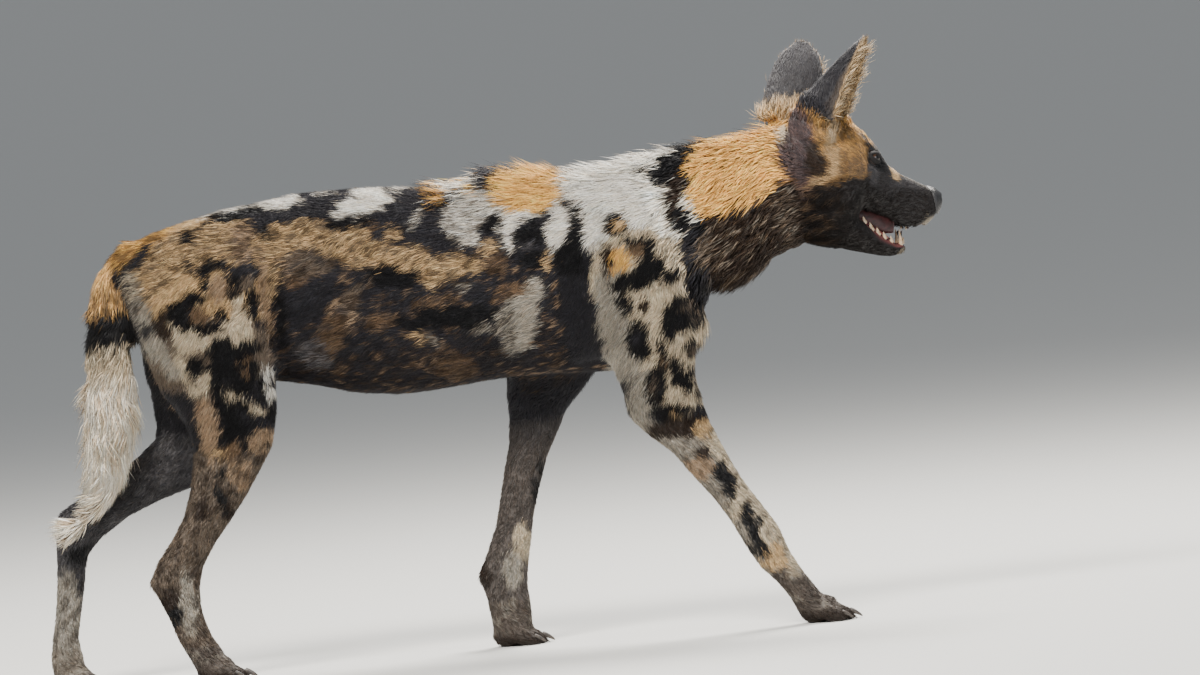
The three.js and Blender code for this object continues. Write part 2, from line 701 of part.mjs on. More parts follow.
nodes.forEach(([name, shape, tone]) => addNode(name, shape, tone));
addNode("head", head.subtract(jawRoom), "dark");
addNode("jaw", jaw, "dark");
addNode("tongue", tongue, "tongue");
addNode("nose", nose, "nose");
addNode("eye_right", eyes[-1], "eye");
addNode("eye_left", eyes[1], "eye");
addNode("ear_right", ears.ear_right, "dark");
addNode("ear_left", ears.ear_left, "dark");
Object.entries(claws).forEach(([foot, set]) => {
  set.forEach((shape, i) => {
    addNode("claw_" + foot + "_" + (i + 1), shape, "claw");
  });
});

export default group;
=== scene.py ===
# African wild dog at a walk: a life-size still museum model, head up and mouth a little open.
# It walks toward +X, its right side faces -Y, and its pads stand on the floor at z = 0.
import math
import bmesh
import bpy
import numpy as np
from mathutils import Matrix, Vector
from mathutils.bvhtree import BVHTree


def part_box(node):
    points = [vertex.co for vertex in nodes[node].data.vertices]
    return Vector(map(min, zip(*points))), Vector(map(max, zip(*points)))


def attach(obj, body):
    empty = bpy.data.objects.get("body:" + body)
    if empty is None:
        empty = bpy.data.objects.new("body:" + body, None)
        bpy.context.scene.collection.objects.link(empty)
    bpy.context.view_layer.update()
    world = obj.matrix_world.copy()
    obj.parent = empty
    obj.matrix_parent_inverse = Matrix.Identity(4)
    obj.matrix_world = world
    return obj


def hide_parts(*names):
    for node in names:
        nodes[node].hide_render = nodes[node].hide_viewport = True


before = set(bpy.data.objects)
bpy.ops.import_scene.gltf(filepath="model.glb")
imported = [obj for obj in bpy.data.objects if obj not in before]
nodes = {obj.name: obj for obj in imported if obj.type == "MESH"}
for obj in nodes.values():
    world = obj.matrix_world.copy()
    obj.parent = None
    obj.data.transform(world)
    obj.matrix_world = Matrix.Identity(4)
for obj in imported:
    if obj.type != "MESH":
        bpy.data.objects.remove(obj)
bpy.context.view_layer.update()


# Floor, light and camera.
# A pale studio floor under soft boxes, and a long lens from the animal's right side,
# rolled so that the ground rises toward the right as it does in the picture.
def put(name, content):
    piece = bpy.data.objects.new(name, content)
    bpy.context.scene.collection.objects.link(piece)
    return piece


def mesh_of(name, shell):
    mesh = bpy.data.meshes.new(name)
    shell.to_mesh(mesh)
    shell.free()
    return mesh


def material_of(name, settings):
    material = bpy.data.materials.new(name)
    material.use_nodes = True
    shader = material.node_tree.nodes["Principled BSDF"]
    for socket, value in settings.items():
        shader.inputs[socket].default_value = value
    return material, material.node_tree, shader


FLOOR_SIZE = 3000.0
floor_shape = bmesh.new()
bmesh.ops.create_grid(floor_shape, x_segments=4, y_segments=4, size=FLOOR_SIZE)
floor_mesh = mesh_of("floor", floor_shape)
floor = put("floor", floor_mesh)
PALE_GREY = (0.62, 0.62, 0.6, 1.0)
floor_finish = material_of("pale studio floor", {"Base Color": PALE_GREY, "Roughness": 0.9})[0]
floor_mesh.materials.append(floor_finish)

world = bpy.data.worlds.new("soft room")
bpy.context.scene.world = world
world.use_nodes = True
world.node_tree.nodes["Background"].inputs["Color"].default_value = (0.86, 0.9, 0.95, 1.0)
world.node_tree.nodes["Background"].inputs["Strength"].default_value = 0.42


def soft_box(name, place, aim, size, watts, warmth):
    lamp = bpy.data.lights.new(name, "AREA")
    lamp.shape = "RECTANGLE"
    lamp.size = size
    lamp.size_y = size * 0.7
    lamp.energy = watts
    lamp.color = warmth
    holder = put(name, lamp)
    holder.location = place
    turn = (Vector(aim) - Vector(place)).to_track_quat("-Z", "Y")
    holder.rotation_euler = turn.to_euler()


soft_box("key light", (-1.2, -2.6, 3.4), (0.0, 0.0, 0.35), 1.6, 350.0, (1.0, 0.95, 0.88))
soft_box("top light", (1.0, 1.6, 3.2), (0.0, 0.0, 0.5), 1.8, 300.0, (1.0, 0.96, 0.9))
soft_box("fill light", (2.8, -2.4, 1.4), (0.0, 0.0, 0.4), 2.2, 45.0, (0.9, 0.95, 1.0))

AIM = Vector((0.1481, 0.0, 0.3925))
CAMERA_DISTANCE = 12.0
PICTURE_WIDTH = 1.5584
SENSOR_WIDTH = 36.0
CAMERA_RISE = math.radians(2.5)
PICTURE_ROLL = math.radians(5.7)
look = Vector((0.0, math.cos(CAMERA_RISE), -math.sin(CAMERA_RISE)))
right = Vector((math.cos(PICTURE_ROLL), 0.0, -math.sin(PICTURE_ROLL)))
right = (right - right.dot(look) * look).normalized()
up = right.cross(look)
camera_data = bpy.data.cameras.new("camera")
camera_data.sensor_width = SENSOR_WIDTH
camera_data.lens = SENSOR_WIDTH * CAMERA_DISTANCE / PICTURE_WIDTH
camera_data.clip_end = 5000.0
camera = put("camera", camera_data)
turned = Matrix((right, up, -look)).transposed().to_4x4()
camera.matrix_world = Matrix.Translation(AIM - look * CAMERA_DISTANCE) @ turned
bpy.context.scene.camera = camera


# Skin.
# One hide over the whole animal, from the nose to the tail and down to the pads. It is made
# from the carved body parts, fused and smoothed, finer at the head and the paws, and it is
# drawn in from their outlines by the depth of the coat that grows on it.
SIDES = ["right", "left"]
HEAD_PARTS = ["head", "jaw", "ear_right", "ear_left"]
PAW_PARTS = ["forepaw_right", "forepaw_left", "hindpaw_right", "hindpaw_left"]
LIMB_PARTS = [part + "_" + side for part in ["forearm", "shank", "hock"] for side in SIDES]
UPPER_PARTS = [part + "_" + side for part in ["upper_arm", "thigh"] for side in SIDES]
LARGE_PARTS = ["trunk", "neck", "tail_root", "tail_plume"] + UPPER_PARTS
FOOT_PARTS = LIMB_PARTS + PAW_PARTS
FLESH = LARGE_PARTS + FOOT_PARTS + HEAD_PARTS
HEAD_YAW = math.radians(13.0)
HEAD_PIVOT = 425.0
MIDDLE = np.array([1.3, -0.5, 0.0])
BODY_VOXEL = 0.0052
FOOT_VOXEL = 0.0029
HEAD_VOXEL = 0.0016
FOOT_SHARE_KEPT = 0.65
HEAD_SHARE_KEPT = 0.4
SEAM_FILL = 0.0006


def fused(parts, voxel):
    shell = bmesh.new()
    for part in parts:
        shell.from_mesh(nodes[part].data)
    bmesh.ops.remove_doubles(shell, verts=shell.verts, dist=1e-5)
    shell.normal_update()
    for corner in shell.verts:
        corner.co += corner.normal * SEAM_FILL
    carrier = put("rough", mesh_of("rough", shell))
    voxels = carrier.modifiers.new("voxels", "REMESH")
    voxels.mode = "VOXEL"
    voxels.voxel_size = voxel
    seen = bpy.context.evaluated_depsgraph_get()
    mesh = bpy.data.meshes.new_from_object(carrier.evaluated_get(seen))
    bpy.data.objects.remove(carrier)
    return mesh


def corners_of(mesh):
    flat = np.empty(len(mesh.vertices) * 3, np.float32)
    mesh.vertices.foreach_get("co", flat)
    return flat.reshape(-1, 3).astype(float)


def move_corners(mesh, places):
    mesh.vertices.foreach_set("co", places.astype(np.float32).ravel())
    mesh.update()


def normals_of(mesh):
    flat = np.empty(len(mesh.vertices) * 3, np.float32)
    mesh.vertex_normals.foreach_get("vector", flat)
    return flat.reshape(-1, 3).astype(float)


def relax(mesh, rounds, strength):
    flat = np.empty(len(mesh.edges) * 2, np.int32)
    mesh.edges.foreach_get("vertices", flat)
    one, two = flat[0::2], flat[1::2]
    places = corners_of(mesh)
    count = len(places)
    shared = np.bincount(one, minlength=count) + np.bincount(two, minlength=count)
    shared = np.maximum(shared, 1)
    for step in range(rounds):
        for axis in range(3):
            value = places[:, axis]
            around = np.bincount(one, value[two], count) + np.bincount(two, value[one], count)
            places[:, axis] = value + strength * (around / shared - value)
    move_corners(mesh, places)


def tree_of(parts):
    corners = []
    faces = []
    for part in parts:
        data = nodes[part].data
        start = len(corners)
        corners.extend([v.co.copy() for v in data.vertices])
        faces.extend([[start + i for i in face.vertices] for face in data.polygons])
    return BVHTree.FromPolygons(corners, faces)


part_tree = tree_of(FLESH)
part_of_face = []
for number, part in enumerate(FLESH):
    part_of_face.extend([number] * len(nodes[part].data.polygons))


def parts_at(places):
    found = np.empty(len(places), np.int32)
    for i, place in enumerate(places):
        found[i] = part_of_face[part_tree.find_nearest(place)[2]]
    return found


def keep_faces(mesh, wanted):
    shell = bmesh.new()
    shell.from_mesh(mesh)
    shell.verts.ensure_lookup_table()
    dropped = [v for v, stays in zip(shell.verts, wanted) if not stays]
    bmesh.ops.delete(shell, geom=dropped, context="VERTS")
    shell.to_mesh(mesh)
    shell.free()


def is_part(found, parts):
    return np.isin(found, [FLESH.index(part) for part in parts])


# For each part: how far it is smoothed, depth and length of its coat in mm, and the way it lies
COAT_OF = {
    "trunk": (0.5, 3.6, 14.0, -1.0, 0.0, -0.3),
    "neck": (0.5, 6.5, 24.0, -0.85, 0.0, -0.5),
    "tail_root": (0.5, 6.0, 26.0, -0.4, 0.0, -1.0),
    "tail_plume": (0.5, 14.0, 50.0, -0.12, 0.0, -1.0),
    "upper_arm": (0.5, 3.2, 13.0, -0.5, 0.0, -0.85),
    "thigh": (0.5, 3.2, 12.5, -0.5, 0.0, -0.87),
    "forearm_right": (0.4, 2.0, 8.5, 0.55, 0.0, -0.8),
    "forearm_left": (0.4, 2.0, 8.5, -0.35, 0.0, -0.95),
    "shank_right": (0.4, 2.0, 9.0, -0.5, 0.0, -0.85),
    "shank_left": (0.4, 2.0, 9.0, -0.75, 0.0, -0.6),
    "hock_right": (0.4, 1.8, 8.0, 0.2, 0.0, -1.0),
    "hock_left": (0.4, 1.8, 8.0, -0.1, 0.0, -1.0),
    "forepaw": (0.3, 1.5, 7.0, 0.8, 0.0, -0.55),
    "hindpaw": (0.3, 1.5, 7.0, 0.75, 0.0, -0.6),
    "head": (0.3, 1.5, 6.0, -1.0, 0.0, 0.0),
    "jaw": (0.3, 1.3, 6.0, -1.0, 0.0, -0.15),
    "ear_right": (0.22, 0.8, 7.0, 0.44, -0.05, 1.0),
    "ear_left": (0.22, 0.8, 7.0, 0.27, 0.2, 1.0),
}
coat_rows = [next(row for key, row in COAT_OF.items() if part.startswith(key)) for part in FLESH]
coat_of_part = np.array(coat_rows)


def drop_specks(mesh):
    shell = bmesh.new()
    shell.from_mesh(mesh)
    specks = set()
    for corner in shell.verts:
        if corner in specks or len(corner.link_edges) != 3:
            continue
        island = {corner}
        edge_of_island = [corner]
        while edge_of_island and len(island) < 12:
            for edge in edge_of_island.pop().link_edges:
                for other in edge.verts:
                    if other not in island:
                        island.add(other)
                        edge_of_island.append(other)
        if len(island) < 12:
            specks |= island
    bmesh.ops.delete(shell, geom=list(specks), context="VERTS")
    shell.to_mesh(mesh)
    shell.free()


def to_head(mm):
    ahead = mm[:, 0] + MIDDLE[0] - HEAD_PIVOT
    aside = mm[:, 1] + MIDDLE[1]
    return np.stack([
        HEAD_PIVOT + ahead * math.cos(HEAD_YAW) + aside * math.sin(HEAD_YAW),
        aside * math.cos(HEAD_YAW) - ahead * math.sin(HEAD_YAW),
        mm[:, 2],
    ], 1)


def from_head(x, y, z):
    ahead = x - HEAD_PIVOT
    return Vector((
        HEAD_PIVOT + ahead * math.cos(HEAD_YAW) - y * math.sin(HEAD_YAW) - MIDDLE[0],
        ahead * math.sin(HEAD_YAW) + y * math.cos(HEAD_YAW) - MIDDLE[1],
        z,
    )) / 1000.0


def head_direction(x, y, z):
    return Vector((
        x * math.cos(HEAD_YAW) - y * math.sin(HEAD_YAW),
        x * math.sin(HEAD_YAW) + y * math.cos(HEAD_YAW),
        z,
    )).normalized()


def eased(value, low, high):
    t = np.clip((value - low) / (high - low), 0.0, 1.0)
    return t * t * (3.0 - 2.0 * t)


def groove(mm, start, end, width):
    line = np.array(end, float) - np.array(start, float)
    t = np.clip(((mm - start) @ line) / (line @ line), 0.0, 1.0)
    away = np.linalg.norm(mm - (np.array(start, float) + t[:, None] * line), axis=1)
    return np.exp(-((away / width) ** 2))


# Eyes: where they sit and look, in the head's own frame; the hide is hollowed for them here
EYE_RADIUS = 0.0102
eye_centres = {}
eye_looks = {}
for side in SIDES:
    low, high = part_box("eye_" + side)
    eye_centres[side] = (low + high) / 2
    out = -1.0 if side == "right" else 1.0
    eye_looks[side] = head_direction(0.56, out * 0.81, 0.14)


def hollow_for_eyes(mesh):
    places = corners_of(mesh)
    for side in SIDES:
        centre = np.array(eye_centres[side])
        facing = np.array(eye_looks[side])
        ray = places - centre
        far = np.linalg.norm(ray, axis=1) + 1e-9
        cosine = (ray @ facing) / far
        near = (far < 0.019) & (cosine > 0.0)
        within = eased(cosine, 0.80, 0.9)
        wanted = EYE_RADIUS * (1.05 - 0.28 * within)
        hold = eased(cosine, 0.1, 0.5) * (1.0 - eased(far, 0.0145, 0.019)) * near
        reach = far + (wanted - far) * hold
        places = centre + ray * (reach / far)[:, None]
    move_corners(mesh, places)


HEAD_FOLDS = [
    [(541, 24, 566), (516, 36, 560), 7.0, -1.2],
    [(560, 24, 536), (523, 36, 527), 5.0, -1.1],
    [(552, 27, 548), (510, 46, 540), 6.0, 0.7],
    [(500, 44, 612), (478, 52, 600), 8.0, -1.0],
    [(536, 6, 596), (506, 8, 640), 7.0, 0.9],
    [(522, 0, 618), (480, 0, 656), 7.0, -1.4],
    [(500, 52, 572), (470, 60, 580), 10.0, 1.4],
    [(508, 40, 531), (470, 52, 512), 5.0, -1.2],
    [(515, 41, 545), (470, 56, 530), 6.0, 0.8],
    [(497, 36, 508), (520, 30, 492), 3.2, 1.1],
    [(596, 17, 536), (585, 21, 522), 4.0, -0.8],
    [(604, 12, 512), (590, 20, 500), 4.0, 0.7],
]
BODY_FOLDS = [
    [(-272, 74, 395), (-286, 76, 560), 11.0, -4.5],
    [(-262, 60, 380), (-275, 66, 430), 9.0, -3.0],
    [(120, 70, 352), (142, 82, 470), 12.0, -4.0],
    [(142, 82, 470), (175, 66, 590), 12.0, -2.2],
    [(248, 62, 590), (268, 52, 430), 12.0, -3.5],
    [(-425, 70, 470), (-398, 68, 330), 10.0, -2.8],
    [(-448, 50, 500), (-440, 52, 400), 9.0, 2.0],
    [(-330, 92, 520), (-345, 92, 420), 22.0, 2.2],
    [(205, 80, 500), (180, 84, 400), 20.0, 2.0],
    [(262, 60, 470), (236, 70, 350), 10.0, 2.0],
    [(-180, 80, 380), (20, 84, 372), 16.0, -1.6],
    [(-225, 80, 420), (-255, 70, 360), 12.0, 1.8],
]
LEG_FOLDS = [
    [(262, -84, 246), (318, -78, 138), 5.0, -1.6],
    [(225, -86, 246), (285, -80, 148), 6.0, 1.2],
    [(262, -34, 246), (318, -40, 138), 5.0, -1.4],
    [(340, -80, 78), (372, -80, 60), 6.0, 1.3],
    [(318, -78, 128), (336, -79, 90), 6.0, -1.2],
    [(-398, -80, 268), (-438, -72, 176), 5.0, -2.6],
    [(-398, -34, 268), (-438, -40, 176), 5.0, -2.6],
    [(-440, -73, 140), (-420, -73, 60), 4.0, -1.4],
    [(-410, -73, 130), (-402, -74, 60), 4.0, 0.9],
    [(42, 34, 230), (20, 36, 150), 5.0, -1.4],
    [(20, 78, 240), (-2, 76, 150), 5.0, -1.6],
    [(-14, 36, 120), (-20, 36, 80), 6.0, -1.0],
    [(-480, 34, 274), (-548, 38, 228), 5.0, -2.2],
    [(-480, 78, 274), (-548, 74, 228), 5.0, -2.2],
    [(-576, 39, 170), (-584, 39, 70), 4.0, -1.2],
    [(-560, 39, 160), (-570, 39, 60), 4.0, 0.8],
]


def fold(mesh, folds, mirrored, in_head):
    places = corners_of(mesh)
    mm = places * 1000.0 + (0.0 if in_head else MIDDLE)
    if in_head:
        mm = to_head(mm)
    rise = np.zeros(len(mm))
    for start, end, width, height in folds:
        rise += height * groove(mm, start, end, width)
        if mirrored:
            other = [(p[0], -p[1], p[2]) for p in (start, end)]
            rise += height * groove(mm, other[0], other[1], width)
    move_corners(mesh, places + normals_of(mesh) * rise[:, None] / 1000.0)


def thinned(mesh, share):
    carrier = put("thinned", mesh)
    fewer = carrier.modifiers.new("fewer", "DECIMATE")
    fewer.ratio = share
    seen = bpy.context.evaluated_depsgraph_get()
    lighter = bpy.data.meshes.new_from_object(carrier.evaluated_get(seen))
    bpy.data.objects.remove(carrier)
    return lighter


body_mesh = fused([part for part in FLESH if not part.startswith("ear")], BODY_VOXEL)
drop_specks(body_mesh)
body_found = parts_at(corners_of(body_mesh))
relax(body_mesh, 16, coat_of_part[body_found, 0])
fold(body_mesh, BODY_FOLDS, True, False)
body_tree = tree_of(LARGE_PARTS)
near_body = np.array([body_tree.find_nearest(place)[3] for place in corners_of(body_mesh)])
keep_faces(body_mesh, is_part(body_found, LARGE_PARTS) | (near_body < 0.007))

head_mesh = fused(HEAD_PARTS + ["neck", "nose"], HEAD_VOXEL)
drop_specks(head_mesh)
head_found = parts_at(corners_of(head_mesh))
relax(head_mesh, 16, coat_of_part[head_found, 0])
head_spots = to_head(corners_of(head_mesh) * 1000.0) * np.array([1.0, 0.0, 1.0])
hinge = groove(head_spots, (452, 0, 474), (482, 0, 508), 13.0)
hinge = np.maximum(hinge, groove(head_spots, (482, 0, 508), (496, 0, 522), 7.0))
ear_tree = tree_of(["ear_right", "ear_left"])
skull_tree = tree_of(["head", "neck"])
head_places = corners_of(head_mesh)
apart = np.full(len(head_places), 1.0)
for i in np.nonzero(head_places[:, 2] > 0.6)[0]:
    from_ear = ear_tree.find_nearest(head_places[i])[3]
    apart[i] = max(from_ear, skull_tree.find_nearest(head_places[i])[3])
ear_seam = 1.0 - eased(apart, 0.005, 0.012)
relax(head_mesh, 70, 0.5 * np.clip(1.3 * np.maximum(hinge, ear_seam), 0.0, 1.0))
keep_faces(head_mesh, is_part(head_found, HEAD_PARTS))
fold(head_mesh, HEAD_FOLDS, True, True)
hollow_for_eyes(head_mesh)
head_mesh = thinned(head_mesh, HEAD_SHARE_KEPT)

foot_mesh = fused(FOOT_PARTS + UPPER_PARTS, FOOT_VOXEL)
drop_specks(foot_mesh)
foot_found = parts_at(corners_of(foot_mesh))
relax(foot_mesh, 10, coat_of_part[foot_found, 0])
keep_faces(foot_mesh, is_part(foot_found, FOOT_PARTS))
fold(foot_mesh, LEG_FOLDS, False, False)
foot_mesh = thinned(foot_mesh, FOOT_SHARE_KEPT)

whole = bmesh.new()
for mesh in [body_mesh, head_mesh, foot_mesh]:
    whole.from_mesh(mesh)
skin_mesh = mesh_of("skin", whole)
skin = put("skin", skin_mesh)
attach(skin, "root")
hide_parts(*FLESH)
outer = corners_of(skin_mesh)
outward = normals_of(skin_mesh)
skin_found = parts_at(outer)


# The coat's own lie, length and depth, soft from one part of the body to the next
CELL = 0.011
GRID_LOW = np.array([-0.66, -0.15, -0.05])
GRID_SIZE = (116, 28, 76)


def spread_through(values):
    cell = np.clip(((outer - GRID_LOW) / CELL).astype(int), 0, np.array(GRID_SIZE) - 1)
    flat = np.ravel_multi_index(cell.T, GRID_SIZE)
    total = int(np.prod(GRID_SIZE))
    weight = np.bincount(flat, minlength=total).reshape(GRID_SIZE).astype(float)
    layers = [np.bincount(flat, column, total).reshape(GRID_SIZE) for column in values.T]
    stack = np.stack(layers + [weight])
    for turn in range(3):
        for axis in (1, 2, 3):
            stack = 0.5 * stack + 0.25 * (np.roll(stack, 1, axis) + np.roll(stack, -1, axis))
    return stack[:-1] / np.maximum(stack[-1], 1e-9)


def read_through(field, places):
    spot = (places - GRID_LOW) / CELL - 0.5
    spot = np.clip(spot, 0, np.array(GRID_SIZE) - 1.001)
    cell = spot.astype(int)
    part = spot - cell
    result = np.zeros((len(places), field.shape[0]))
    for corner in range(8):
        step = np.array([corner & 1, corner >> 1 & 1, corner >> 2 & 1])
        share = np.prod(np.where(step, part, 1.0 - part), axis=1)
        at = cell + step
        result += (field[:, at[:, 0], at[:, 1], at[:, 2]] * share).T
    return result


start_values = coat_of_part[skin_found, 1:]
skin_mm = outer * 1000.0 + MIDDLE
in_head = to_head(outer * 1000.0)
of_head = is_part(skin_found, ["head", "jaw"])
crown = of_head & (in_head[:, 2] > 580) & (in_head[:, 0] < 545)
start_values[crown, 2:5] = head_direction(-0.75, 0.0, 0.65)
muzzle_side = of_head & (in_head[:, 2] < 560) & (in_head[:, 0] < 560)
start_values[muzzle_side, 2:5] = head_direction(-0.92, 0.0, -0.38)
cheek_back = of_head & (in_head[:, 0] < 470) & (in_head[:, 2] < 600)
start_values[cheek_back, 1] = 14.0
start_values[cheek_back, 0] = 3.5
jaw_back = of_head & (in_head[:, 0] < 462) & (in_head[:, 2] < 570)
start_values[jaw_back, 1] = 19.0
throat = is_part(skin_found, ["neck"]) & (skin_mm[:, 2] < 490)
start_values[throat, 1] = 34.0
start_values[throat, 2:5] = (-0.65, 0.0, -0.75)
belly = is_part(skin_found, ["trunk"]) & (outward[:, 2] < -0.5)
start_values[belly, 1] = 12.0
start_values[belly, 2:5] = (-1.0, 0.0, 0.0)
withers = is_part(skin_found, ["trunk"]) & (skin_mm[:, 0] > 0) & (skin_mm[:, 2] > 570)
start_values[withers, 1] = 24.0
tail_tip = is_part(skin_found, ["tail_plume"]) * eased(-skin_mm[:, 2], -330, -235)
start_values[:, 2] -= 0.95 * tail_tip
start_values[:, 4] += 0.62 * tail_tip
start_values[:, 1] -= 24.0 * tail_tip
lie_field = spread_through(start_values)
at_skin = read_through(lie_field, outer)
inner = outer - outward * (at_skin[:, 0:1] / 1000.0)
ear_corner = is_part(skin_found, ["ear_right", "ear_left"])
inner[ear_corner] = outer[ear_corner] - outward[ear_corner] * 0.0008
toes_and_lips = is_part(skin_found, PAW_PARTS + ["jaw", "head"])
short = outer - outward * 0.0016
inner[toes_and_lips & (at_skin[:, 0] < 2.4)] = short[toes_and_lips & (at_skin[:, 0] < 2.4)]
inner[:, 2] = np.where(inner[:, 2] < 0.004, np.maximum(outer[:, 2], 0.0) * 0.6, inner[:, 2])
move_corners(skin_mesh, inner)
skin_normals = normals_of(skin_mesh)


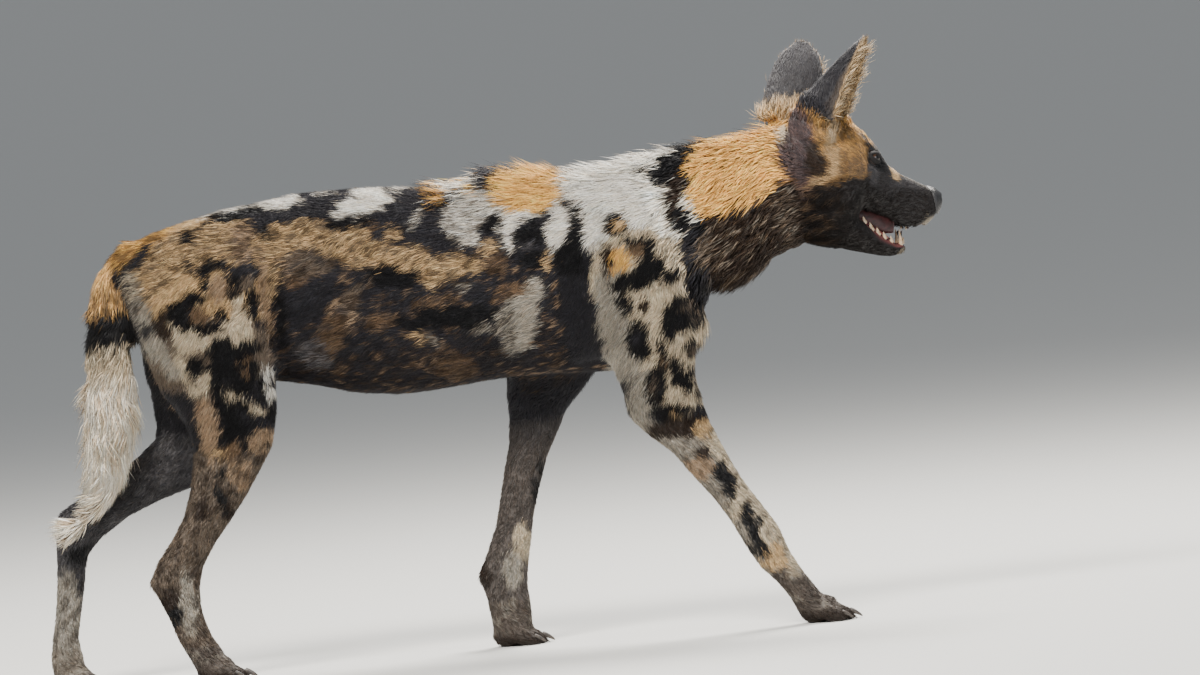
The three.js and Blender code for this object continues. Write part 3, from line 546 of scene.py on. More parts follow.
# Markings: blotches of black, white, ochre and tan over dark skin, the same on hide and hair.
# Some blotches and layers below are painted shade and painted highlight, not coat colour;
# each is marked where it stands.
# Each run is a tone and its blotches, laid one over the other: middle x and z along the side,
# half length and half height in mm, and tilt in degrees where there is one.
TONES = {
    "black": (0.0065, 0.0063, 0.0078),
    "slate": (0.022, 0.021, 0.026),
    "ash": (0.062, 0.059, 0.064),
    "smoke": (0.15, 0.138, 0.14),
    "umber": (0.026, 0.016, 0.011),
    "brown": (0.165, 0.106, 0.063),
    "taupe": (0.15, 0.115, 0.086),
    "fawn": (0.36, 0.25, 0.16),
    "tan": (0.60, 0.41, 0.215),
    "orange": (0.84, 0.46, 0.135),
    "cream": (0.60, 0.50, 0.36),
    "stone": (0.37, 0.335, 0.28),
    "white": (0.88, 0.82, 0.72),
    "mauve": (0.15, 0.045, 0.045),
    "muzzle": (0.0095, 0.0068, 0.0064),
}
RIGHT_MARKS = [
    ("slate", (-224, 490, 34, 42)),
    ("brown", (-236, 510, 14, 12)),
    ("fawn", (-180, 455, 20, 25, -25), (-240, 540, 22, 22), (-214, 520, 16, 12, -20)),
    ("tan", (-225, 560, 46, 25, -8)),
    ("taupe", (-214, 530, 34, 20)),
    ("tan", (-170, 552, 40, 21, -12), (-206, 573, 14, 8), (-143, 532, 36, 20, -12),
     (-105, 521, 32, 18, -10), (-76, 515, 27, 19, -20), (-58, 498, 26, 16, -20), (-30, 507, 22, 15),
     (-6, 503, 13, 10), (-104, 553, 10, 8)),
    ("brown", (-127, 568, 15, 6, 20)),
    ("tan", (15, 527, 13, 9)),
    ("brown", (22, 506, 16, 15), (-62, 461, 34, 8, 6), (-194, 436, 18, 30, -20)),
    ("taupe", (-165, 474, 12, 22, -30)),
    ("brown", (-128, 443, 26, 11)),
    ("umber", (-418, 469, 48, 4, -75)),
    ("tan", (-88, 422, 8, 8)),
    ("brown", (-40, 376, 28, 14, -8), (40, 463, 22, 13)),
    ("smoke", (-220, 408, 26, 17, -35)),
    ("stone", (-70, 414, 8, 4, -50), (-21, 479, 10, 4, 6), (-2, 423, 14, 4, -10)),
    ("black", (-257, 482, 8, 66), (-268, 568, 8, 14)),
    ("slate", (-185, 599, 36, 14, -4)),
    ("black", (-150, 576, 42, 9, 10)),
    ("slate", (-95, 578, 34, 18), (-45, 560, 34, 26)),
    ("black", (25, 556, 20, 14), (-110, 500, 40, 12, -8), (-40, 440, 80, 14)),
    ("white", (-295, 610, 62, 8, 4), (-248, 610, 26, 11), (-346, 600, 14, 9, 25), (-188, 617, 14, 4),
     (-132, 615, 20, 10), (-141, 594, 38, 12, 11), (-88, 614, 18, 4)),
    ("orange", (-55, 612, 20, 5, -8)),
    ("white", (-20, 607, 26, 9)),
    ("orange", (-49, 593, 15, 8), (-5, 595, 6, 5)),
    ("white", (-74, 570, 13, 4, 50), (-10, 565, 32, 25, 35), (20, 581, 22, 13, -30), (-13, 538, 16, 11),
     (45, 545, 10, 27), (55, 564, 30, 8, -10)),
    ("black", (71, 536, 19, 15)),
    ("ash", (70, 523, 9, 5)),
    ("black", (72, 502, 20, 12)),
    ("white", (107, 538, 12, 36, -6)),
    ("orange", (72, 592, 49, 27, -5)),
    ("tan", (92, 497, 6, 10)),
    ("stone", (70, 464, 13, 17, -20), (44, 424, 27, 38, -18)),
    ("white", (190, 604, 78, 32, 8), (205, 545, 84, 52)),
    ("cream", (205, 470, 62, 60), (228, 390, 58, 60)),
    ("stone", (166, 440, 17, 60, -4), (177, 375, 22, 44, -8), (196, 312, 16, 42, -12)),
    ("cream", (244, 312, 30, 30)),
    ("black", (130, 535, 12, 27), (118, 498, 18, 20), (184.5, 537, 18, 18)),
    ("tan", (186, 535, 9, 8)),
    ("white", (200, 546, 5, 7)),
    ("umber", (168, 496, 9, 19)),
    ("black", (206, 511, 20, 7, -18), (223, 500, 7, 15)),
    ("brown", (207, 501, 10, 8)),
    ("orange", (184, 492, 13, 17)),
    ("black", (221, 477, 21, 18), (196, 461, 26, 13), (249, 466, 11, 11), (283, 482, 7, 14),
     (284, 449, 9, 11), (186, 434, 8, 18)),
    ("umber", (207, 430, 8, 10)),
    ("black", (200, 387, 17, 28, -4)),
    # Painted highlight: the slate streak on the next line lightens the black blotch above it where light
    # catches the hair.
    ("slate", (196, 388, 5, 12, -4)),
    ("black", (258, 414, 27, 23)),
    ("taupe", (264, 422, 6, 5), (272, 408, 5, 5)),
    ("black", (237, 393, 9, 15), (226, 360, 8, 22)),
    ("brown", (226, 357, 3, 8)),
    ("black", (213, 326, 16, 25)),
    ("taupe", (209, 326, 4, 11)),
    ("black", (265, 366, 10, 12)),
    ("taupe", (266, 364, 5, 4)),
    ("black", (248, 335, 13, 25, 20), (269, 311, 4, 9), (224, 291, 22, 11)),
    ("tan", (236, 285, 6, 4)),
    ("black", (246, 290, 13, 7)),
    ("umber", (240, 268, 42, 14)),
    ("black", (262, 597, 35, 17, 8), (221, 599, 14, 4), (288, 622, 34, 8, -4)),
    ("umber", (262, 562, 10, 30, -14)),
    ("black", (268, 530, 12, 20), (302, 520, 32, 9, -6)),
    ("taupe", (298, 490, 19, 25)),
    ("orange", (338, 587, 58, 46, 4), (380, 604, 22, 40), (312, 566, 32, 33)),
    ("tan", (-345, 520, 90, 80)),
    ("taupe", (-356, 420, 84, 50)),
    ("cream", (-376, 447, 24, 17), (-397, 464, 5, 16), (-391, 411, 9, 20, 20),
     (-374, 383, 14, 12, -40)),
    ("tan", (-412, 540, 34, 22, 20), (-352, 543, 20, 14)),
    ("fawn", (-300, 560, 16, 26)),
    ("umber", (-412, 464, 9, 26, -6)),
    ("orange", (-436, 572, 58, 19, 30)),
    # Painted shadow: the slate streak on the next line is the shade in the slot between the tail and the
    # rump.
    ("slate", (-438, 552, 31, 8, 42)),
    ("black", (-372, 573, 14, 6, 20), (-346, 588, 18, 5, 22), (-302, 598, 44, 8, 5), (-373, 540, 6, 14),
     (-345, 533, 24, 8, 18), (-324, 536, 13, 7, -10)),
    ("slate", (-300, 525, 25, 12)),
    ("black", (-313, 501, 9, 20)),
    ("taupe", (-298, 509, 10, 11)),
    ("black", (-291, 482, 9, 25), (-352, 513, 8, 8)),
    ("fawn", (-333, 506, 14, 16)),
    ("black", (-386, 479, 19, 23), (-367, 495, 20, 9, 6), (-356, 457, 27, 9), (-331, 471, 9, 13)),
    ("brown", (-362, 474, 15, 8)),
    ("tan", (-346, 484, 12, 6)),
    ("cream", (-309, 477, 8, 15), (-312, 457, 19, 14), (-309, 440, 16, 8), (-339, 448, 22, 4, 4)),
    ("fawn", (-276, 500, 7, 60)),
    ("black", (-373, 408, 12, 17), (-341, 431, 20, 12), (-303, 425, 20, 10), (-328, 398, 33, 35),
     (-347, 368, 13, 10)),
    ("brown", (-311, 411, 8, 4), (-314, 395, 5, 5)),
    ("white", (-284, 388, 5, 13), (-281, 362, 6, 9)),
    ("black", (-291, 372, 5, 18)),
    ("cream", (-359, 393, 6, 8), (-314, 354, 30, 8, -32)),
    ("black", (-339, 349, 14, 12), (-334, 322, 20, 18), (-313, 330, 9, 5), (-279, 337, 11, 11)),
    ("fawn", (-368, 322, 15, 46), (-298, 303, 22, 17)),
    ("brown", (-345, 295, 18, 10)),
    ("black", (-322, 300, 5, 9), (-298, 296, 9, 3, 20), (-316, 352, 16, 8, -40)),
    ("umber", (-330, 262, 8, 24, 25), (-352, 222, 7, 22, 25)),
    ("tan", (-353, 293, 9, 6)),
    ("black", (-350, 268, 13, 6), (-360, 236, 6, 20, 10)),
    ("fawn", (-330, 262, 12, 22, 20)),
    ("taupe", (-380, 264, 16, 30)),
    ("umber", (-386, 226, 8, 18, -28)),
    ("slate", (-387, 327, 10, 20)),
    ("taupe", (-429, 164, 15, 34, -24)),
    ("stone", (-414, 107, 12, 44)),
    ("umber", (-438, 110, 13, 16)),
    ("black", (-432, 90, 10, 13)),
    ("cream", (-446, 512, 11, 26, 8)),
    ("stone", (-438, 478, 12, 26, 14), (-424, 440, 12, 28, 22), (-404, 407, 9, 16, 40)),
    ("slate", (-432, 463, 7, 11, 10)),
    ("cream", (296, 255, 12, 40)),
    ("tan", (270, 261, 11, 13)),
    ("umber", (268, 236, 12, 9)),
    ("fawn", (262, 214, 18, 18)),
    ("black", (289, 207, 11, 17), (297, 190, 11, 15), (306, 172, 9, 15)),
    ("cream", (322, 186, 13, 50, -30)),
    ("black", (316, 148, 8, 18)),
    ("cream", (343, 122, 20, 32, -24)),
    ("black", (320, 124, 8, 16), (326, 104, 9, 12), (329, 142, 5, 8)),
    ("tan", (345, 88, 15, 17)),
    ("cream", (371, 76, 12, 14, -30)),
]
LEFT_MARKS = [
    ("taupe", (-222, 512, 60, 46)),
    ("tan", (-232, 568, 44, 24), (-142, 532, 52, 30), (-52, 512, 44, 26), (28, 482, 30, 22)),
    ("black", (-102, 578, 70, 22), (-182, 474, 50, 24), (-62, 452, 60, 26), (48, 552, 44, 30)),
    ("white", (-282, 608, 60, 10, 6), (-112, 598, 40, 12), (-58, 560, 16, 12, 30),
     (16, 578, 34, 20, -30), (-162, 512, 10, 16)),
    ("orange", (78, 598, 48, 26), (-12, 602, 20, 8)),
    ("stone", (28, 432, 26, 46, 30)),
    ("white", (198, 600, 84, 34), (158, 522, 72, 56)),
    ("cream", (108, 442, 50, 66)),
    ("orange", (343, 590, 66, 46)),
    ("black", (258, 612, 40, 18), (252, 572, 14, 44), (274, 528, 15, 28)),
    ("cream", (300, 500, 14, 20)),
    ("black", (188, 552, 24, 18, 20)),
    ("orange", (188, 553, 9, 6, 20)),
    ("black", (138, 572, 16, 12), (168, 492, 30, 20, -20)),
    ("tan", (172, 492, 12, 9)),
    ("black", (118, 512, 14, 20), (100, 452, 24, 20), (158, 432, 16, 26), (68, 412, 16, 22),
     (118, 392, 24, 14), (213, 464, 10, 18)),
    ("fawn", (-337, 432, 90, 110)),
    ("tan", (-352, 536, 84, 58)),
    ("cream", (-330, 448, 34, 24, 20)),
    ("orange", (-388, 560, 40, 24)),
    ("black", (-322, 572, 40, 14), (-400, 532, 20, 14, 30), (-292, 512, 18, 34), (-352, 482, 34, 20)),
    ("tan", (-354, 482, 14, 8)),
    ("black", (-392, 442, 14, 20), (-322, 412, 26, 24), (-370, 378, 20, 14), (-298, 352, 14, 20),
     (-308, 462, 12, 9, 20), (-396, 404, 8, 16, 30)),
    ("tan", (-344, 376, 22, 12)),
    ("black", (-352, 344, 24, 9, -10)),
    ("slate", (-272, 430, 8, 40)),
    ("cream", (-398, 486, 12, 9)),
    ("black", (84, 486, 10, 8), (152, 534, 7, 10), (134, 462, 8, 8)),
    ("fawn", (196, 420, 10, 22)),
    ("stone", (-442, 472, 18, 50, -12)),
]


def wander(mm, size, seed):
    dice = np.random.default_rng(seed)
    total = np.zeros(len(mm))
    for _ in range(9):
        aim = dice.normal(size=3)
        aim *= 2.0 * math.pi / (size * dice.uniform(0.7, 1.6) * np.linalg.norm(aim))
        total += np.sin(mm @ aim + dice.uniform(0.0, 6.3))
    return total / 3.0


def lay(colour, tone, amount):
    return colour + (np.array(TONES[tone]) - colour) * np.clip(amount, 0.0, 1.0)[:, None]


def marks(colour, spots, x, z, softness, within):
    for tone, *blotches in spots:
        for middle_x, middle_z, half_x, half_z, *tilt in blotches:
            turn = math.radians(sum(tilt))
            across = (x - middle_x) * math.cos(turn) + (z - middle_z) * math.sin(turn)
            upward = (z - middle_z) * math.cos(turn) - (x - middle_x) * math.sin(turn)
            edge = np.sqrt((across / half_x) ** 2 + (upward / half_z) ** 2)
            rim = softness / min(half_x, half_z)
            colour = lay(colour, tone, within * (1.0 - eased(edge, 1.0 - rim, 1.0 + rim)))
    return colour


def spot_of(x, z, middle, half):
    return 1.0 - eased(np.hypot((x - middle[0]) / half[0], (z - middle[1]) / half[1]), 0.72, 1.15)


def painted(places, facing, found, jitter):
    mm = places * 1000.0 + MIDDLE
    warp_x = 2.6 * wander(mm, 34.0, 3) + 2.0 * wander(mm, 12.0, 4) + jitter[:, 0] * 2.6
    warp_z = 2.6 * wander(mm, 34.0, 5) + 2.0 * wander(mm, 12.0, 6) + jitter[:, 1] * 2.6
    side_x = mm[:, 0] + warp_x
    side_z = mm[:, 2] + warp_z
    fleck = wander(mm, 19.0, 8) + 0.6 * wander(mm, 8.0, 9) + 0.5 * jitter[:, 2]
    colour = np.tile(np.array(TONES["slate"]), (len(mm), 1))

    def over(tone, amount):
        nonlocal colour
        colour = lay(colour, tone, amount)

    def of(*parts):
        return is_part(found, parts).astype(float)

    trunk = is_part(found, ["trunk"])
    over("umber", trunk * eased(-side_z, -440, -380) * 0.6)
    over("brown", trunk * eased(fleck, 0.7, 1.3) * eased(-side_z, -420, -380) * 0.5)
    mottle = wander(mm, 13.0, 17) + 0.6 * wander(mm, 6.0, 18) + 0.3 * jitter[:, 2]
    patchy = mottle + 0.6 * wander(mm, 46.0, 19)
    low_flank = trunk * eased(-side_z, -532, -505)
    over("slate", low_flank * eased(-patchy, -0.9, 0.0) * 0.8)
    over("brown", low_flank * eased(patchy, 0.75, 1.15) * 0.55)
    over("fawn", low_flank * eased(patchy, 1.3, 1.7) * 0.6)
    limb = is_part(found, LIMB_PARTS)
    over("taupe", limb.astype(float))
    inner_face = limb & (np.sign(mm[:, 1]) * facing[:, 1] < -0.1)
    over("ash", inner_face * 0.6)
    near_arm = of("forearm_right")
    over("stone", near_arm * 0.7)
    shin = side_x - 262.0 - 0.52 * (246.0 - side_z)
    over("cream", near_arm * eased(shin, 8.0, 14.0) * 0.85)
    near_side = eased(-mm[:, 1], -6.0, 6.0)
    colour = marks(colour, RIGHT_MARKS, side_x, side_z, 2.0, near_side)
    colour = marks(colour, LEFT_MARKS, side_x + 1.3 * warp_x, side_z + 1.3 * warp_z, 2.4, 1.0 - near_side)
    flank = trunk & (mm[:, 0] < 40) & (mm[:, 2] < 585)
    bright = eased(colour.max(1), 0.06, 0.14)
    over("umber", flank * bright * eased(fleck, 0.15, 0.65) * 0.8)
    over("slate", flank * bright * eased(-fleck, 0.4, 1.0) * 0.7)
    speck = wander(mm, 14.0, 23) + 0.7 * wander(mm, 6.0, 24) + 0.5 * jitter[:, 1]
    low_leg = limb & (mm[:, 2] < 340) & (mm[:, 0] < -200)
    over("umber", low_leg * bright * eased(speck, -0.1, 0.6) * 0.7)
    arm = limb & (mm[:, 0] > 60) & (mm[:, 2] < 470)
    over("umber", arm * bright * eased(speck, 0.6, 1.1) * 0.55)
    haunch = is_part(found, ["thigh_right", "thigh_left"]) & (mm[:, 2] > 470)
    over("brown", haunch * bright * eased(fleck, 0.6, 1.1) * 0.5)

    neck = of("neck")
    edge = 536.0 + 30.0 * eased(side_x, 350.0, 400.0)
    under = neck * eased(edge - side_z, -4.0, 8.0) * eased(side_x, 292, 304)
    over("umber", under)
    over("brown", under * eased(fleck, 0.5, 1.0) * 0.45)
    over("taupe", under * spot_of(side_x, side_z, (408, 522), (18, 34)) * 0.5)
    over("umber", under * eased(side_x, 388, 420) * 0.85)
    over("stone", under * eased(fleck + jitter[:, 0] * 0.7, 1.0, 1.6) * 0.28)
    over("orange", neck * eased(side_z, 566, 580) * eased(side_x, 372, 384) * 0.9)

    far_fore = of("forearm_left", "forepaw_left")
    over("slate", far_fore * eased(mm[:, 2], 225, 300) * 0.7)
    colour = marks(colour, [
        ("black", (46, 198, 7, 17), (56, 226, 5, 18)),
        ("cream", (22, 133, 12, 24)),
        ("stone", (5, 100, 12, 24)),
        ("umber", (-32, 96, 10, 20)),
    ], side_x, side_z, 3.0, far_fore)
    far_hind = of("shank_left", "hock_left", "hindpaw_left")
    over("ash", far_hind * 0.95)
    over("slate", far_hind * eased(speck, -0.2, 0.6) * 0.6)
    over("stone", far_hind * eased(-side_z, -160, -140) * eased(-side_x, 555, 562) * 0.8)
    over("umber", far_hind * eased(-side_z, -158, -142) * eased(speck, 0.1, 0.8) * 0.6)
    over("ash", far_hind * spot_of(side_x, side_z, (-572, 186), (13, 22)))
    over("black", far_hind * spot_of(side_x, side_z, (-556, 174), (14, 12)))
    paws = of(*PAW_PARTS)
    over("taupe", paws * 0.5)
    over("umber", paws * eased(-mm[:, 2], -22, -8) * 0.8)
    over("stone", paws * eased(fleck, 0.5, 1.0) * eased(mm[:, 2], 14, 26) * 0.5)

    tail = of("tail_root", "tail_plume")
    height = mm[:, 2] + 3.0 * fleck + 4.0 * jitter[:, 0]
    streak = wander(mm * np.array([1.0, 1.0, 0.12]), 9.0, 14) + 0.6 * jitter[:, 1]
    over("orange", tail * eased(height, 474, 486))
    over("tan", tail * eased(height, 474, 486) * 0.45)
    over("tan", tail * eased(height, 560, 580) * 0.6)
    # Painted shadow: a slate streak on the near side of the tail root, the shade in the slot between tail
    # and rump.
    colour = marks(colour, [("slate", (-446, 548, 34, 9, 42))], side_x, side_z, 3.0, tail * near_side)
    over("brown", tail * eased(-height, -540, -500) * eased(streak, -0.6, 0.4) * 0.8)
    over("black", tail * eased(-height, -492, -480))
    over("cream", tail * eased(-height, -446, -424))
    over("white", tail * eased(-height, -420, -380) * 0.75)
    over("tan", tail * eased(-height, -430, -400) * eased(streak, -0.2, 0.9) * 0.55)
    over("brown", tail * eased(-height, -436, -420) * eased(streak, 1.1, 1.7) * 0.6)

    head = of("head", "jaw")
    spot = to_head(places * 1000.0)
    ahead = spot[:, 0] + 0.8 * warp_x
    aside = np.abs(spot[:, 1])
    tall = spot[:, 2] + 0.8 * warp_z
    fine = wander(mm, 7.0, 15) + 0.7 * jitter[:, 2]
    over("muzzle", head)
    # Painted sheen: grey laid over the upper part of the black muzzle, standing in for light on the hair.
    over("ash", head * eased(ahead, 516, 556) * eased(tall, 534, 556) * 0.6)
    face = head * eased(tall, 562, 576) * eased(-ahead, -513, -500)
    over("orange", face)
    over("brown", face * (0.3 + 0.5 * eased(fine, -0.4, 0.7)))
    over("brown", face * eased(-tall, -612, -576) * 0.7)
    over("umber", face * eased(-tall, -584, -566) * eased(fine, -0.6, 0.4) * 0.6)
    colour = colour * (1.0 - 0.42 * face[:, None])
    ridge = head * eased(-ahead, -548, -538) * eased(tall, 600, 607) * eased(-aside, -27, -18)
    over("orange", ridge * eased(fine, -0.8, 0.3))
    blaze = eased(-aside, -6.5, -3.0)
    over("umber", head * blaze * eased(tall, 612, 628) * eased(-ahead, -512, -490))
    eye_patch = spot_of(ahead, tall, (527, 588), (18, 19)) * eased(aside, 9, 15)
    over("black", head * eye_patch)
    over("ash", head * spot_of(ahead, tall, (517, 568), (9, 16)) * eased(aside, 12, 18) * 0.8)
    # Painted highlight: the upward-facing top of the muzzle is lightened with stone, as light falling on it.
    painted_muzzle_sheen = head * eased(facing[:, 2], 0.35, 0.8) * eased(ahead, 548, 566) * eased(-aside, -16, -9)
    over("stone", painted_muzzle_sheen * (0.16 + 0.16 * eased(fine, -0.3, 0.7)))
    over("tan", head * spot_of(ahead, tall, (551, 566), (9, 8)) * 0.85)
    back_of_jaw = head * eased(-ahead, -474, -430) * eased(-tall, -566, -550)
    over("brown", back_of_jaw * eased(fleck, 0.3, 1.0) * 0.45)
    cheek_line = groove(np.column_stack([ahead, aside * 0.0, tall]), (414, 0, 563), (458, 0, 580), 9.0)
    over("tan", head * eased(cheek_line, 0.25, 0.7) * eased(aside, 30, 42) * 0.6)
    front_of_ear = head * spot_of(ahead, tall, (460, 606), (9, 30)) * eased(aside, 30, 42)
    over("tan", front_of_ear * 0.6)
    colour = colour * (1.0 - 0.3 * front_of_ear[:, None])
    over("cream", head * spot_of(ahead, tall, (466, 634), (9, 16)) * eased(aside, 22, 30) * 0.45)
    over("orange", head * eased(-ahead, -424, -404) * eased(tall, 560, 575))
    # Partly pale hair on the lips and chin, partly a painted rim highlight along the chin.
    lip = np.maximum(
        spot_of(ahead, tall, (592, 497), (14, 7)), spot_of(ahead, tall, (556, 463), (9, 6)))
    over("cream", head * lip * 0.35)
    inside = is_part(found, ["jaw"]) * eased(facing[:, 2], 0.15, 0.5) * eased(-aside, -31, -27)
    inside = inside * eased(spot[:, 0], 486, 494) * eased(-spot[:, 0], -560, -554)
    roof = is_part(found, ["head"]) * eased(-facing[:, 2], 0.4, 0.7) * eased(-aside, -19, -15)
    roof = roof * eased(spot[:, 0], 490, 496) * eased(-spot[:, 0], -584, -578)
    roof = roof * eased(-spot[:, 2], -528, -522)
    over("mauve", np.maximum(inside, roof))
    root = np.maximum(
        spot_of(side_x, side_z, (425, 616), (25, 62)) * eased(-mm[:, 1], 16, 26),
        spot_of(ahead, tall, (418, 606), (26, 46)) * eased(spot[:, 1], 30, 40))
    near_root = np.maximum(head, neck) * root
    over("mauve", near_root * 0.9)
    over("ash", near_root * 0.78)
    over("slate", near_root * eased(fine, -0.2, 0.6) * 0.6)
    wisp = spot_of(side_x, side_z, (407, 640), (9, 22)) * eased(-mm[:, 1], 4, 14)
    over("cream", np.maximum(head, neck) * wisp * 0.8)
    hollow = spot_of(side_x, side_z, (447, 594), (13, 27)) * eased(-mm[:, 1], 20, 30)
    over("umber", np.maximum(head, neck) * hollow)

    ears = of("ear_right", "ear_left")
    ear_right = is_part(found, ["ear_right"])
    ear_left = is_part(found, ["ear_left"])
    away = np.zeros(len(mm))
    away = np.where(ear_right, facing @ np.array(head_direction(1, -0.6, -0.2)), away)
    away = np.where(ear_left, facing @ np.array(head_direction(0.66, 0.75, 0)), away)
    over("slate", ears)
    over("ash", ear_left * eased(side_z, 640, 700) * 0.6)
    over("ash", ear_right * eased(-side_z, -672, -640) * 0.5)
    over("tan", ears * eased(away, -0.05, 0.3) * 0.85)
    over("brown", ears * eased(away, 0.0, 0.4) * eased(fine, 0.2, 0.8) * 0.6)
    over("umber", ears * eased(away, 0.62, 0.95) * 0.8)
    far_base = ear_left * eased(-side_z, -684, -664) * eased(-away, -0.3, 0.2)
    over("tan", far_base)
    over("cream", far_base * eased(fine, 0.0, 0.8) * 0.6)

    shade = 1.0 + 0.08 * wander(mm, 27.0, 11) + 0.05 * wander(mm, 9.0, 12)
    return np.clip(colour * shade[:, None], 0.004, 0.92)


def set_colours(mesh, colours):
    layer = mesh.color_attributes.new("coat colour", "FLOAT_COLOR", "POINT")
    rgba = np.ones((len(colours), 4), np.float32)
    rgba[:, :3] = colours
    layer.data.foreach_set("color", rgba.ravel())


skin_colours = painted(inner, skin_normals, skin_found, np.zeros((len(inner), 3)))
set_colours(skin_mesh, skin_colours * 0.8)


def smooth_shaded(mesh, material):
    mesh.polygons.foreach_set("use_smooth", np.ones(len(mesh.polygons), bool))
    mesh.materials.append(material)


def reading(tree, attribute):
    tone = tree.nodes.new("ShaderNodeAttribute")
    tone.attribute_name = attribute
    return tone


def grain_of(tree, kind, scale):
    place = tree.nodes.new("ShaderNodeTexCoord")
    grain = tree.nodes.new(kind)
    grain.inputs["Scale"].default_value = scale
    tree.links.new(place.outputs["Object"], grain.inputs["Vector"])
    return grain


def flecked(tree, shader, under, scale, detail, blend, share):
    flecks = grain_of(tree, "ShaderNodeTexNoise", scale)
    flecks.inputs["Detail"].default_value = detail
    mixed = tree.nodes.new("ShaderNodeMix")
    mixed.data_type = "RGBA"
    mixed.blend_type = blend
    mixed.inputs["Factor"].default_value = share
    tree.links.new(under, mixed.inputs["A"])
    tree.links.new(flecks.outputs["Fac"], mixed.inputs["B"])
    tree.links.new(mixed.outputs["Result"], shader.inputs["Base Color"])
    return flecks.outputs["Fac"]


def add_relief(tree, shader, height, strength, depth):
    relief = tree.nodes.new("ShaderNodeBump")
    relief.inputs["Strength"].default_value = strength
    relief.inputs["Distance"].default_value = depth
    tree.links.new(height, relief.inputs["Height"])
    tree.links.new(relief.outputs["Normal"], shader.inputs["Normal"])
    return relief


hide, tree, shader = material_of("dark hide under the coat", {"Roughness": 0.62, "Specular IOR Level": 0.35})
tone = reading(tree, "coat colour")
pores = flecked(tree, shader, tone.outputs["Color"], 620.0, 3.0, "MULTIPLY", 0.55)
add_relief(tree, shader, pores, 0.5, 0.0008)
smooth_shaded(skin_mesh, hide)

bpy.context.view_layer.objects.active = skin
skin.select_set(True)
bpy.ops.object.mode_set(mode="EDIT")
bpy.ops.mesh.select_all(action="SELECT")
bpy.ops.uv.smart_project(angle_limit=math.radians(66), island_margin=0.001)
bpy.ops.object.mode_set(mode="OBJECT")


# Eyes.
# Dark amber eyes, glassy and wet, with a bulging cornea over a round pupil. They sit in the
# hollows of the hide behind heavy black lids, which are rolled rims of bare skin.
EYE_TONES = [
    (0.00, (0.002, 0.002, 0.002, 1.0)),
    (0.17, (0.003, 0.002, 0.002, 1.0)),
    (0.21, (0.022, 0.010, 0.005, 1.0)),
    (0.36, (0.042, 0.018, 0.007, 1.0)),
    (0.43, (0.018, 0.008, 0.005, 1.0)),
    (0.48, (0.012, 0.009, 0.008, 1.0)),
    (0.62, (0.03, 0.02, 0.017, 1.0)),
]
eye_glass, tree, shader = material_of("dark amber eye", {
    "Roughness": 0.16, "Coat Weight": 0.25, "Specular IOR Level": 0.35, "Coat Roughness": 0.03})
tones = tree.nodes.new("ShaderNodeValToRGB")
while len(tones.color_ramp.elements) < len(EYE_TONES):
    tones.color_ramp.elements.new(0.5)
for stop, (spot, value) in zip(tones.color_ramp.elements, EYE_TONES):
    stop.position = spot
    stop.color = value
tree.links.new(reading(tree, "from pupil").outputs["Fac"], tones.inputs["Fac"])
flecked(tree, shader, tones.outputs["Color"], 900.0, 2.0, "OVERLAY", 0.5)


def mottled(name, settings, grain_name, scale, low, high, detail=None):
    material, tree, shader = material_of(name, settings)
    grain = grain_of(tree, "ShaderNodeTex" + grain_name, scale)
    if detail:
        grain.inputs["Detail"].default_value = detail
    height = grain.outputs["Distance" if grain_name == "Voronoi" else "Fac"]
    tones = tree.nodes.new("ShaderNodeValToRGB")
    for stop, (spot, colour) in zip(tones.color_ramp.elements, (low, high)):
        stop.position = spot
        stop.color = (*colour, 1.0)
    tree.links.new(height, tones.inputs["Fac"])
    tree.links.new(tones.outputs["Color"], shader.inputs["Base Color"])
    return material, tree, shader, height


lid_skin, tree, shader, wrinkles = mottled(
    "bare black lids", {"Roughness": 0.7, "Specular IOR Level": 0.2}, "Noise", 900.0,
    (0.0, (0.004, 0.0035, 0.004)), (1.0, (0.014, 0.012, 0.012)), 4.0)
add_relief(tree, shader, wrinkles, 0.6, 0.0004)

